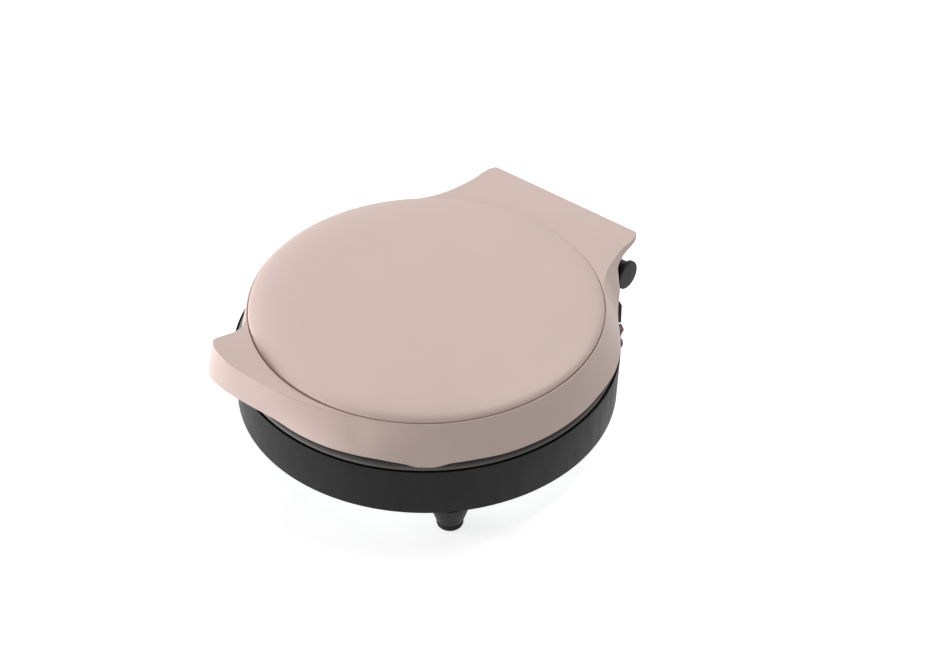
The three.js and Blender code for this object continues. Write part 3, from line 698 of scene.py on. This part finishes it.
def non_stick():
    look = Look("non_stick")
    specks = look.between(look.cells(size=1.6)["Distance"], low=0.85, high=0, start=0.1, end=0.22)
    mineral = (0.085, 0.088, 0.095)
    drift = look.noise(size=40, detail=3)
    body = look.tint(drift, dark=(0.017, 0.017, 0.019), light=(0.024, 0.024, 0.027))
    look.set(
        Base_Color=look.mix(specks, body, mineral),
        Metallic=0.15,
        Roughness=look.between(look.noise(size=15, detail=4), low=0.43, high=0.47),
    )
    look.bump([(look.noise(size=0.9, detail=3), 0.02), (look.noise(size=6, detail=2), 0.006)])
    return look.material


def heater_steel():
    look = Look("heater_steel")
    look.set(
        Base_Color=look.tint(
            look.noise(size=14, detail=5),
            dark=(0.07, 0.08, 0.075),
            light=(0.16, 0.15, 0.12),
        ),
        Metallic=0.85,
        Roughness=look.between(look.noise(size=4, detail=4), low=0.4, high=0.62),
    )
    look.bump([(look.noise(size=1.2, detail=3), 0.02)])
    return look.material


def sheet_steel():
    look = Look("sheet_steel")
    spangle = look.cells(size=11)["Color"]
    look.set(
        Base_Color=look.mix(spangle, first=(0.4, 0.415, 0.43), second=(0.56, 0.57, 0.58)),
        Metallic=0.9,
        Roughness=look.between(look.noise(size=5, detail=5), low=0.3, high=0.48),
    )
    look.bump([(look.noise(size=1.5, detail=3, stretch=(1, 8, 1)), 0.01)])
    return look.material


def zinc_steel():
    look = Look("zinc_steel")
    look.set(
        Base_Color=look.tint(
            look.noise(size=3, detail=4),
            dark=(0.42, 0.43, 0.43),
            light=(0.62, 0.62, 0.6),
        ),
        Metallic=0.95,
        Roughness=look.between(look.noise(size=1.2, detail=4), low=0.24, high=0.42),
    )
    look.bump([(look.noise(size=0.4, detail=2), 0.01)])
    return look.material


def ceramic():
    look = Look("ceramic")
    look.set(
        Base_Color=look.tint(
            look.noise(size=6, detail=4),
            dark=(0.72, 0.68, 0.6),
            light=(0.82, 0.79, 0.72),
        ),
        Roughness=look.between(look.noise(size=2, detail=4), low=0.5, high=0.7),
    )
    look.bump([(look.noise(size=0.7, detail=3), 0.03)])
    return look.material


def red_rocker():
    look = Look("red_rocker")
    look.set(
        Base_Color=look.tint(
            look.noise(size=5, detail=3),
            dark=(0.085, 0.006, 0.006),
            light=(0.12, 0.009, 0.009),
        ),
        Roughness=look.between(look.noise(size=2, detail=4), low=0.2, high=0.32),
        Coat_Weight=0.25,
        Coat_Roughness=0.12,
    )
    look.bump([(look.noise(size=1.5, detail=2), 0.01)])
    return look.material


def smoky_lens():
    look = Look("smoky_lens")
    look.set(
        Base_Color=look.tint(
            look.noise(size=2, detail=3),
            dark=(0.1, 0.075, 0.07),
            light=(0.13, 0.1, 0.095),
        ),
        Roughness=look.between(look.noise(size=1.2, detail=3), low=0.16, high=0.28),
        Transmission_Weight=0.25,
        IOR=1.49,
    )
    look.bump([(look.noise(size=0.8, detail=2), 0.015)])
    return look.material


def rubber():
    look = Look("rubber")
    look.set(
        Base_Color=look.tint(
            look.noise(size=8, detail=4),
            dark=(0.011, 0.011, 0.012),
            light=(0.019, 0.019, 0.02),
        ),
        Roughness=look.between(look.noise(size=3, detail=5), low=0.72, high=0.9),
        Specular_IOR_Level=0.3,
    )
    look.bump([(look.noise(size=0.35, detail=3), 0.03)])
    return look.material


makers = [
    rose_paint, black_plastic, grey_plastic, non_stick, heater_steel, sheet_steel, zinc_steel,
    ceramic, red_rocker, smoky_lens, rubber,
]
looks = {maker.__name__: maker() for maker in makers}
slot_of = {part["node"]: part["material_slot"] for part in frame["record"]["subparts"]}
body_of = {node: body for body, nodes in frame["record"]["behaviour"]["bodies"].items() for node in nodes}


def dress(piece, *nodes):
    """Gives a piece its look, its body and the CAD nodes that it stands for."""
    slot = slot_of[nodes[0]]
    piece.data.materials.clear()
    piece.data.materials.append(looks[slot])
    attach(piece, body_of[nodes[0]])
    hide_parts(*nodes)
    return piece


# Lid
def edge_point(outline, angle, inset=0):
    """The outline's point at this angle, moved in square to the outline."""
    before, after = angle - fine_step / 2, angle + fine_step / 2
    along = polar(outline(after), after) - polar(outline(before), before)
    out = Vector((along.y, -along.x, 0)).normalized()
    return polar(outline(angle), angle) - inset * out


def ring_section(angle):
    """The lid ring's section as (place, height, share of the lip's rise) points."""
    top = edge_point(top_radius, angle)
    low = edge_point(lower_radius, angle)
    bottom = rim_z - edge_depth(angle)
    bend = 1 + wall_bow * read_table(bow_shares, angle)
    reach = min(max(top_radius(angle) - ring_top_r, 0) / reach_blend, 1)
    ledge_z = rim_z - ledge_depth - ledge_wall
    ledge_r = groove_r - ledge_inset
    inner_low = inward(lower_radius, angle)
    inner_top = inward(top_radius, angle) + (1 - reach) * (lid_wall - rim_width / 2)
    under_z = ledge_z + reach * (ledge_depth + ledge_wall - lid_wall)
    wall_low, wall_high = bottom + skirt_round, rim_z - ring_edge_round
    skirt = [
        (polar(inner_low, angle), bottom + tiny_round, 0),
        (polar(inner_low + tiny_round, angle), bottom, 0),
    ]
    for across, rise in arc((0, 0), skirt_round, -RIGHT_ANGLE, 0, round_steps):
        place = edge_point(lower_radius, angle, skirt_round - across)
        skirt.append((place, wall_low + rise, 0))
    wall = []
    for k in range(1, wall_steps):
        share = 1 - k / wall_steps
        place = top.lerp(low, share ** bend)
        wall.append((place, wall_high - (wall_high - wall_low) * share, 1 - share))
    crown = []
    for across, rise in arc((0, 0), ring_edge_round, 0, RIGHT_ANGLE, round_steps):
        place = edge_point(top_radius, angle, ring_edge_round - across)
        crown.append((place, wall_high + rise, 1))
    inner_edge = polar(groove_r + tiny_round, angle)
    hollow = []
    for k in range(1, scoop_steps + 1):
        share = 1 - k / scoop_steps
        hollow.append((inner_edge.lerp(crown[-1][0], share), rim_z, share ** scoop_bend))
    groove = [
        (groove_r, rim_z - tiny_round), (groove_r, rim_z - ledge_depth),
        (ledge_r, rim_z - ledge_depth), (ledge_r, ledge_z), (groove_r, ledge_z),
    ]
    ledge = [(polar(r, angle), z, 0) for r, z in groove]
    under = [(polar((groove_r + inner_top) / 2, angle), under_z, scoop_middle_share)]
    for k in range(wall_steps):
        share = k / wall_steps
        place = polar(inner_top, angle).lerp(polar(inner_low, angle), share ** bend)
        under.append((place, under_z - (under_z - bottom - tiny_round) * share, 1 - share))
    return skirt + wall + crown + hollow + ledge + under


def ring_angles():
    angles = []
    angle = 0.0
    while angle < FULL_TURN - fine_step / 2:
        angles.append(angle)
        fine = any(start <= angle < end for start, end in fine_spans)
        angle += fine_step if fine else coarse_step
    return angles


def ring_bosses():
    bottom = rim_z - collar_flange_drop + seat
    top = rim_z - ledge_depth - ledge_wall + seat
    tube = [(screw_bore_r, bottom), (collar_boss_r, bottom), (collar_boss_r, top), (screw_bore_r, top)]
    bosses = []
    for i in range(1, collar_screw_count + 1):
        place = middle_of(*cad_box(f"collar_screw_{i}"))
        bosses.append(turned("boss", tube, small_segments, place))
    return bosses


def tab_pads():
    front = hinge.y - tab_pad_reach
    bottom = rim_z - lid_wall - tab_pad_drop
    top = rim_z - lid_wall / 2
    half = tab_pad_width / 2
    pads = []
    for word in ("left", "right"):
        low, high = cad_box(f"hinge_block_screw_{word}")
        x = (low.x + high.x) / 2
        pad = block("pad", (x - half, front, bottom), (x + half, front + tab_pad_length, top))
        hole = rod("hole", screw_bore_r, bottom - over, rim_z - lid_wall, middle_of(low, high))
        pads.append(combine(pad, [hole], "DIFFERENCE"))
    return pads


def lid_ring():
    angles = ring_angles()
    sections = [ring_section(angle) for angle in angles]
    size = len(sections[0])
    lean = polar(lip_lean_share, lean_angle) + Vector((0, 0, 1))
    points = []
    for angle, section in zip(angles, sections):
        rise = lip_rise * read_table(rise_shares, angle)
        for place, z, share in section:
            points.append(disc_centre + place + Vector((0, 0, z)) + rise * share * lean)
    faces = []
    for i in range(len(angles)):
        after = (i + 1) % len(angles)
        for j in range(size):
            up = (j + 1) % size
            faces.append([i * size + j, after * size + j, after * size + up, i * size + up])
    piece = make_piece("lid_ring_skin", points, faces)
    combine(piece, ring_bosses() + tab_pads(), "UNION")
    return dress(piece, "lid_ring")


def dome_height(share):
    return (cover_high.z - rim_z) * (1 - share ** dome_power) ** (1 / dome_round)


def lid_cover():
    shares = [1 - (k / dome_steps) ** dome_crowding for k in range(dome_steps + 1)]
    outer = [(cover_r * share, rim_z + dome_height(share)) for share in shares]
    inner_r = cover_r * cover_inner_share
    under = []
    for share in cover_under_shares:
        level = rim_z + dome_height(cover_inner_share * share) - cover_wall
        under.append((inner_r * share, level))
    edge = [under[-1], (inner_r, cover_low.z), (cover_r, cover_low.z), (cover_r, rim_z)]
    profile = under[:-1] + rounded(edge, tiny_round, False) + outer[1:]
    return dress(turned("lid_cover_dome", profile, big_segments, closed=False), "lid_cover")


def lid_collar():
    bottom = collar_low.z
    inner_r = flange_r + slip
    outer_r = inner_r + collar_wall
    flange_top = rim_z - collar_flange_drop
    collar_r = (collar_high.x - collar_low.x) / 2
    lip_z = upper_rim_z + flange_drop + flange_wall + seat
    lip_r = flange_r - collar_lip_width
    profile = rounded([
        (inner_r, bottom), (outer_r, bottom), (outer_r, flange_top - collar_flange_wall),
        (collar_r, flange_top - collar_flange_wall), (collar_r, flange_top), (outer_r, flange_top),
        (outer_r, collar_high.z), (outer_r - collar_neck_wall, collar_high.z),
        (outer_r - collar_neck_wall, lip_z + collar_lip_wall), (lip_r, lip_z + collar_lip_wall),
        (lip_r, lip_z), (inner_r, lip_z),
    ], small_round)
    return dress(turned("lid_collar_ring", profile, big_segments), "lid_collar")


def cooking_plate(name, node, rim_level, face_level, up):
    """A dished plate; up is 1 where its dish opens upwards, else -1."""
    depth = abs(face_level - rim_level)
    back = -depth - plate_wall
    turn = Matrix.Rotation(math.pi if up < 0 else 0, 4, "X")
    place = Matrix.Translation(disc_centre + Vector((0, 0, rim_level))) @ turn
    outside = rounded([
        (0, back), (face_r + draft_width, back), (plate_rim_r - flange_drop, -flange_drop - flange_wall),
        (flange_r, -flange_drop - flange_wall), (flange_r, -flange_drop), (plate_rim_r, -flange_drop),
        (plate_rim_r, 0),
    ], tiny_round, False)
    dish = rounded([
        (plate_rim_r, 0), (plate_rim_r - plate_rim_width, 0), (face_r, -depth), (0, -depth),
    ], dish_round, False, 2 * round_steps)
    profile = outside[:-1] + dish
    plate = turned(name, profile, big_segments, place, False)
    boss = rounded([
        (0, back - boss_height), (boss_r, back - boss_height), (boss_r, back + over), (0, back + over),
    ], tiny_round, False)
    bosses = []
    for angle in boss_angles:
        at = place @ Matrix.Translation(polar(boss_at, angle))
        bosses.append(turned("boss", boss, small_segments, at, False))
    return dress(join(plate, bosses), node)


# Base
def base_rim():
    top = rim_high.z
    bottom = wall_z + seat
    spigot_r = shell_inner_r - seat
    inner_r = flange_r + slip
    ledge_top = lower_rim_z - flange_drop - flange_wall - seat
    outer_r = base_r - shell_lip - parting_width
    inset_r = base_rim_r - shoulder_width
    height = top - bottom - shoulder_edge
    shoulder = [(outer_r, bottom)]
    shoulder += quarter((inset_r, bottom + shoulder_edge), outer_r - inset_r, height, shoulder_steps)
    inside = rounded([
        (inset_r, top), (inner_r, top), (inner_r, ledge_top), (inner_r - rim_ledge_width, ledge_top),
        (inner_r - rim_ledge_width, ledge_top - rim_ledge_wall),
        (inner_r + rim_neck_wall, ledge_top - rim_ledge_wall),
        (inner_r + rim_neck_wall, top - rim_plate_wall), (spigot_r - spigot_wall, top - rim_plate_wall),
        (spigot_r - spigot_wall, rim_low.z), (spigot_r, rim_low.z), (spigot_r, bottom), (outer_r, bottom),
    ], tiny_round, False)
    return dress(turned("base_rim_band", shoulder + inside[1:-1], big_segments), "base_rim")


def wall_r(z):
    return base_r - wall_draft * (wall_z - z) / (wall_z - base_z)


def on_wall(angle, z):
    """Places a piece made along +X square to the base wall."""
    lean = Matrix.Rotation(math.atan2(wall_draft, wall_z - base_z), 4, "Y")
    turn = Matrix.Rotation(math.radians(angle), 4, "Z")
    at = disc_centre + polar(wall_r(z), angle) + Vector((0, 0, z))
    return Matrix.Translation(at) @ turn @ lean


along_x = Matrix.Rotation(math.pi / 2, 4, "Y")
hinge_line = Matrix.Translation(hinge) @ along_x
switch_place = on_wall(switch_angle, rocker_pivot.z)
lamp_place = on_wall(lamp_angle, wall_z - lamp_drop)
gland_place = on_wall(REAR_ANGLE, base_z + gland_rise)


def base_shell():
    ledge_z = bottom_high.z + seat
    ledge_r = shell_inner_r - cover_ledge_width
    profile = rounded([
        (shell_inner_r, base_z), (low_wall_r, base_z), (base_r, wall_z), (base_r - shell_lip, wall_z),
        (base_r - shell_lip, wall_z - parting_depth), (shell_inner_r, wall_z - parting_depth),
        (shell_inner_r, ledge_z + cover_ledge_wall), (ledge_r, ledge_z + cover_ledge_wall),
        (ledge_r, ledge_z), (shell_inner_r, ledge_z),
    ], small_round)
    shell = turned("base_shell_wall", profile, big_segments)
    depth = shell_wall + wall_draft + over
    half = (switch_width / 2 + seat, switch_height / 2 + seat)
    window = block("window", (-depth, -half[0], -half[1]), (over, half[0], half[1]), switch_place)
    lamp_hole = rod("hole", lens_r + seat, -depth, over, lamp_place @ along_x)
    gland_hole = rod("hole", gland_r + seat, -depth, over, gland_place @ along_x)
    return dress(combine(shell, [window, lamp_hole, gland_hole], "DIFFERENCE"), "base_shell")


def feet():
    for i in range(1, foot_count + 1):
        low, high = cad_box(f"foot_{i}")
        pad_z = cad_box(f"foot_pad_{i}")[1].z
        place = middle_of(low, high)
        top_r = (high.x - low.x) / 2
        flare_z = base_z - seat
        foot = rounded([
            (foot_bore_r, low.z), (foot_low_r, low.z), (top_r, flare_z), (foot_plug_r, flare_z),
            (foot_plug_r, high.z), (foot_bore_r, high.z),
        ], seam_round)
        dress(turned(f"foot_{i}_cone", foot, foot_segments, place), f"foot_{i}")
        plug_z = pad_z - pad_plug
        plug_r = foot_bore_r - seat
        tread_centre = (foot_low_r - foot_round, foot_round)
        tread = arc(tread_centre, foot_round, -RIGHT_ANGLE, 0, tread_steps)
        pad = [(0, 0), (pad_low_r, 0)] + tread[1:]
        pad += [(foot_low_r, plug_z), (plug_r, plug_z), (plug_r, pad_z), (0, pad_z)]
        pad = rounded(pad, seam_round, False, 2)
        dress(turned(f"foot_{i}_tread", pad, foot_segments, place, False), f"foot_pad_{i}")


def hinge_housing():
    top = wall_z - housing_top
    bottom = top - housing_height
    outer_r = base_r + housing_reach
    section = [
        (wall_r(bottom) + seat, bottom), (outer_r, bottom), (outer_r, top), (wall_r(top) + seat, top),
    ]
    size = len(section)
    points = []
    faces = []
    for i in range(housing_steps + 1):
        angle = REAR_ANGLE - housing_angle + 2 * housing_angle * i / housing_steps
        points += [disc_centre + polar(r, angle) + Vector((0, 0, z)) for r, z in section]
    for i in range(housing_steps):
        here, after = i * size, (i + 1) * size
        for j in range(size):
            up = (j + 1) % size
            faces.append([here + j, after + j, after + up, here + up])
    faces += [list(range(size)), [housing_steps * size + j for j in range(size)]]
    housing = make_piece("hinge_housing_shell", points, faces)
    front = hinge.y - barrel_r
    arm = [(front, bottom), (front + arm_foot_depth, bottom)]
    arm += arc((hinge.y, hinge.z), barrel_r, arm_tangent_angle, FULL_TURN / 2, arm_steps)
    inner_x = block_high.x + seat
    outer_x = cad_box("hinge_cap_right")[0].x - seat
    arms = [prism("arm", arm, *span) for span in ((inner_x, outer_x), (-outer_x, -inner_x))]
    combine(housing, arms, "UNION")
    inside = [(0, 0), (wall_r(0) + seat, 0), (wall_r(rim_z) + seat, rim_z), (0, rim_z)]
    wall = turned("wall", inside, big_segments, closed=False)
    pin_hole = rod("hole", cap_bore_r, -outer_x - over, outer_x + over, hinge_line)
    combine(housing, [wall, pin_hole], "DIFFERENCE")
    bevel(housing, soft_round)
    return dress(housing, "hinge_housing")


def hinge_block():
    top = block_high.z
    front_z = rim_z - block_front_drop
    barrel = arc((hinge.y, hinge.z), block_r, FULL_TURN / 2, FULL_TURN + stop_lean, block_steps)
    tangent_y, tangent_z = barrel[-1]
    lean = math.tan(math.radians(stop_lean))
    outline = [(block_low.y, front_z), (hinge.y - block_r, front_z)] + barrel
    outline += [(tangent_y - (top - tangent_z) * lean, top), (block_low.y, top)]
    piece = prism("hinge_block_body", outline, block_low.x, block_high.x)
    holes = [rod("hole", cap_bore_r, block_low.x - over, block_high.x + over, hinge_line)]
    for word in ("left", "right"):
        low, high = cad_box(f"hinge_block_screw_{word}")
        bore_end = low.z + head_height + seat
        holes.append(rod("hole", block_bore_r, front_z - over, bore_end, middle_of(low, high)))
    combine(piece, holes, "DIFFERENCE")
    bevel(piece, small_round)
    return dress(piece, "hinge_block")


def hinge_caps():
    for word, side in (("left", -1), ("right", 1)):
        low, high = cad_box(f"hinge_cap_{word}")
        width = high.x - low.x
        start = low.x if side > 0 else -high.x
        turn = Matrix.Rotation(side * math.pi / 2, 4, "Y")
        place = Matrix.Translation(hinge) @ turn @ Matrix.Translation((0, 0, start))
        profile = rounded([
            (0, pin_in_cap), (cap_bore_r, pin_in_cap), (cap_bore_r, 0), (cap_shank_r, 0),
            (cap_shank_r, width - cap_disc_wall), (barrel_r, width - cap_disc_wall), (barrel_r, width),
            (0, width),
        ], soft_round, False, cap_round_steps)
        knob = turned(f"hinge_cap_{word}_knob", profile, foot_segments, place, False)
        dress(knob, f"hinge_cap_{word}")


# Switch and lamp
def switch_body():
    face = seat + bezel_wall
    bezel = block("switch_bezel", (seat, -bezel_width / 2, -bezel_height / 2),
                  (face, bezel_width / 2, bezel_height / 2), switch_place)
    bevel(bezel, small_round)
    body = block("body", (-switch_depth, -switch_width / 2, -switch_height / 2),
                 (seat + over / 2, switch_width / 2, switch_height / 2), switch_place)
    pocket = block("pocket", (face - pocket_depth, -pocket_width / 2, -pocket_height / 2),
                   (face + over, pocket_width / 2, pocket_height / 2), switch_place)
    combine(bezel, [body], "UNION")
    combine(bezel, [pocket], "DIFFERENCE")
    return dress(bezel, "switch_body")


def switch_rocker():
    crest = rocker_face + rocker_half * math.tan(math.radians(rocker_tilt))
    half = pocket_width / 2 - seat
    dish = []
    for k in range(rocker_steps, -1, -1):
        share = 2 * k / rocker_steps - 1
        rise = (crest - rocker_face) * abs(share) ** rocker_dish_power
        dish.append((rocker_half * share, rocker_face + rise))
    outline = [(rocker_deep_half, -rocker_deep), (rocker_half, 0)] + dish
    outline += [(-rocker_half, 0), (-rocker_deep_half, -rocker_deep)]
    tilt = Matrix.Rotation(math.radians(rocker_tilt), 4, "Y")
    swap = Matrix(((0, 0, 1, 0), (-1, 0, 0, 0), (0, 1, 0, 0), (0, 0, 0, 1)))
    upright = [(z, x) for z, x in outline]
    piece = prism("switch_rocker_cap", upright, -half, half, switch_place @ tilt @ swap)
    bevel(piece, tiny_round)
    return dress(piece, "switch_rocker")


def lamp_lens():
    crown = seat + lens_flange_wall
    body = rounded([
        (0, -lens_front), (lens_bore_r, -lens_front), (lens_bore_r, -lens_length),
        (lens_r, -lens_length), (lens_r, seat), (lens_flange_r, seat), (lens_flange_r, crown),
        (lens_r, crown),
    ], tiny_round, False)
    profile = body[:-1] + quarter((0, crown), lens_r, lens_dome, lens_steps)
    lens = turned("lamp_lens_dome", profile, small_segments, lamp_place @ along_x, False)
    return dress(lens, "lamp_lens")


def cord_gland():
    profile = rounded([
        (gland_bore_r, -gland_depth), (gland_r, -gland_depth), (gland_r, seat), (gland_flange_r, seat),
        (gland_flange_r, seat + gland_flange_wall), (gland_bore_r, seat + gland_flange_wall),
    ], small_round)
    gland = turned("cord_gland_ring", profile, small_segments, gland_place @ along_x)
    return dress(gland, "cord_gland")


def screws():
    half, width = recess_length / 2, recess_width / 2
    names = [f"collar_screw_{i}" for i in range(1, collar_screw_count + 1)]
    names += ["hinge_block_screw_left", "hinge_block_screw_right"]
    for name in names:
        low, high = cad_box(name)
        place = middle_of(low, high, low.z)
        length = high.z - low.z
        profile = rounded([
            (0, 0), (head_r, 0), (head_r, head_height), (shaft_r, head_height), (shaft_r, length),
            (0, length),
        ], small_round, False)
        piece = turned(f"{name}_detail", profile, small_segments, place, False)
        arms = [
            block("arm", (-half, -width, -over), (half, width, recess_depth), place),
            block("arm", (-width, -half, -over), (width, half, recess_depth), place),
        ]
        dress(combine(piece, arms, "DIFFERENCE"), name)


# Nodes that keep their plain shape wear the same looks
for node, cad_object in frame["nodes"].items():
    for material_slot in cad_object.material_slots:
        material_slot.material = looks[slot_of[node]]

lid_ring()
lid_cover()
lid_collar()
upper_face_z = upper_high.z - boss_height - plate_wall
lower_face_z = lower_low.z + boss_height + plate_wall
cooking_plate("upper_plate_dish", "upper_plate", upper_rim_z, upper_face_z, -1)
cooking_plate("lower_plate_dish", "lower_plate", lower_rim_z, lower_face_z, 1)
base_rim()
base_shell()
feet()
hinge_housing()
hinge_block()
hinge_caps()
switch_body()
switch_rocker()
lamp_lens()
cord_gland()
screws()


# Stage
def seen_directly(nodes, links):
    """1 for camera, glossy and transmission rays, else 0."""
    path = nodes.new("ShaderNodeLightPath")
    total = path.outputs["Is Camera Ray"]
    for name in ("Is Glossy Ray", "Is Transmission Ray"):
        step = nodes.new("ShaderNodeMath")
        step.operation = "MAXIMUM"
        links.new(total, step.inputs[0])
        links.new(path.outputs[name], step.inputs[1])
        total = step.outputs[0]
    return total


def studio_world():
    world = bpy.data.worlds.new("studio")
    bpy.context.scene.world = world
    world.use_nodes = True
    nodes, links = world.node_tree.nodes, world.node_tree.links
    nodes.clear()
    dim = nodes.new("ShaderNodeBackground")
    dim.inputs["Color"].default_value = WHITE
    dim.inputs["Strength"].default_value = ambient
    white = nodes.new("ShaderNodeBackground")
    white.inputs["Color"].default_value = WHITE
    white.inputs["Strength"].default_value = 1
    mix = nodes.new("ShaderNodeMixShader")
    links.new(seen_directly(nodes, links), mix.inputs["Fac"])
    links.new(dim.outputs["Background"], mix.inputs[1])
    links.new(white.outputs["Background"], mix.inputs[2])
    output = nodes.new("ShaderNodeOutputWorld")
    links.new(mix.outputs["Shader"], output.inputs["Surface"])


def floor():
    corners = [(x * floor_half, y * floor_half, 0) for x, y in ((-1, -1), (1, -1), (1, 1), (-1, 1))]
    plane = make_piece("floor", corners, [[0, 1, 2, 3]])
    material = bpy.data.materials.new("floor")
    material.use_nodes = True
    nodes, links = material.node_tree.nodes, material.node_tree.links
    nodes.clear()
    diffuse = nodes.new("ShaderNodeBsdfDiffuse")
    diffuse.inputs["Color"].default_value = (floor_grey, floor_grey, floor_grey, 1)
    emission = nodes.new("ShaderNodeEmission")
    emission.inputs["Color"].default_value = WHITE
    strength = nodes.new("ShaderNodeMath")
    strength.operation = "MULTIPLY"
    links.new(seen_directly(nodes, links), strength.inputs[0])
    strength.inputs[1].default_value = floor_glow
    links.new(strength.outputs[0], emission.inputs["Strength"])
    both = nodes.new("ShaderNodeAddShader")
    links.new(diffuse.outputs["BSDF"], both.inputs[0])
    links.new(emission.outputs["Emission"], both.inputs[1])
    output = nodes.new("ShaderNodeOutputMaterial")
    links.new(both.outputs["Shader"], output.inputs["Surface"])
    plane.data.materials.append(material)


def softbox(name, azimuth, elevation, width, height, power):
    """A lamp that faces the object; azimuth is anticlockwise from +X."""
    lamp = bpy.data.lights.new(name, "AREA")
    lamp.shape = "RECTANGLE"
    lamp.size = width * MM
    lamp.size_y = height * MM
    lamp.energy = power
    holder = bpy.data.objects.new(name, lamp)
    bpy.context.scene.collection.objects.link(holder)
    turn, rise = math.radians(azimuth), math.radians(elevation)
    out = Vector((math.cos(turn) * math.cos(rise), math.sin(turn) * math.cos(rise), math.sin(rise)))
    holder.location = (disc_centre + Vector((0, 0, skirt_z)) + out * lamp_distance) * MM
    holder.rotation_mode = "QUATERNION"
    holder.rotation_quaternion = (-out).to_track_quat("-Z", "Y")


def photo_camera():
    turn, rise = math.radians(view_azimuth), math.radians(view_elevation)
    back = Vector((math.sin(turn) * math.cos(rise), -math.cos(turn) * math.cos(rise), math.sin(rise)))
    right = Vector((math.cos(turn), math.sin(turn), 0))
    up = back.cross(right)
    data = bpy.data.cameras.new("photo_camera")
    data.sensor_fit = "HORIZONTAL"
    data.sensor_width = sensor_width
    data.lens = sensor_width * pixels_per_mm * camera_distance / image_width
    data.clip_end = camera_reach_m
    camera = bpy.data.objects.new("photo_camera", data)
    bpy.context.scene.collection.objects.link(camera)
    aim = disc_centre + Vector((0, 0, rim_z)) + aim_right * right + aim_up * up
    axes = Matrix((right, up, back)).transposed().to_4x4()
    camera.matrix_world = Matrix.Translation((aim + camera_distance * back) * MM) @ axes
    bpy.context.scene.camera = camera


studio_world()
floor()
softbox("back_left", azimuth=142, elevation=28, width=2600, height=1800, power=16)
softbox("high_left", azimuth=170, elevation=55, width=1800, height=1800, power=10)
softbox("back", azimuth=90, elevation=60, width=1800, height=1800, power=45)
softbox("front", azimuth=316, elevation=22, width=1500, height=1000, power=11)
softbox("left", azimuth=235, elevation=4, width=800, height=360, power=14)
softbox("key", azimuth=212, elevation=3, width=1500, height=300, power=82)
photo_camera()
bpy.context.scene.view_settings.view_transform = "Standard"
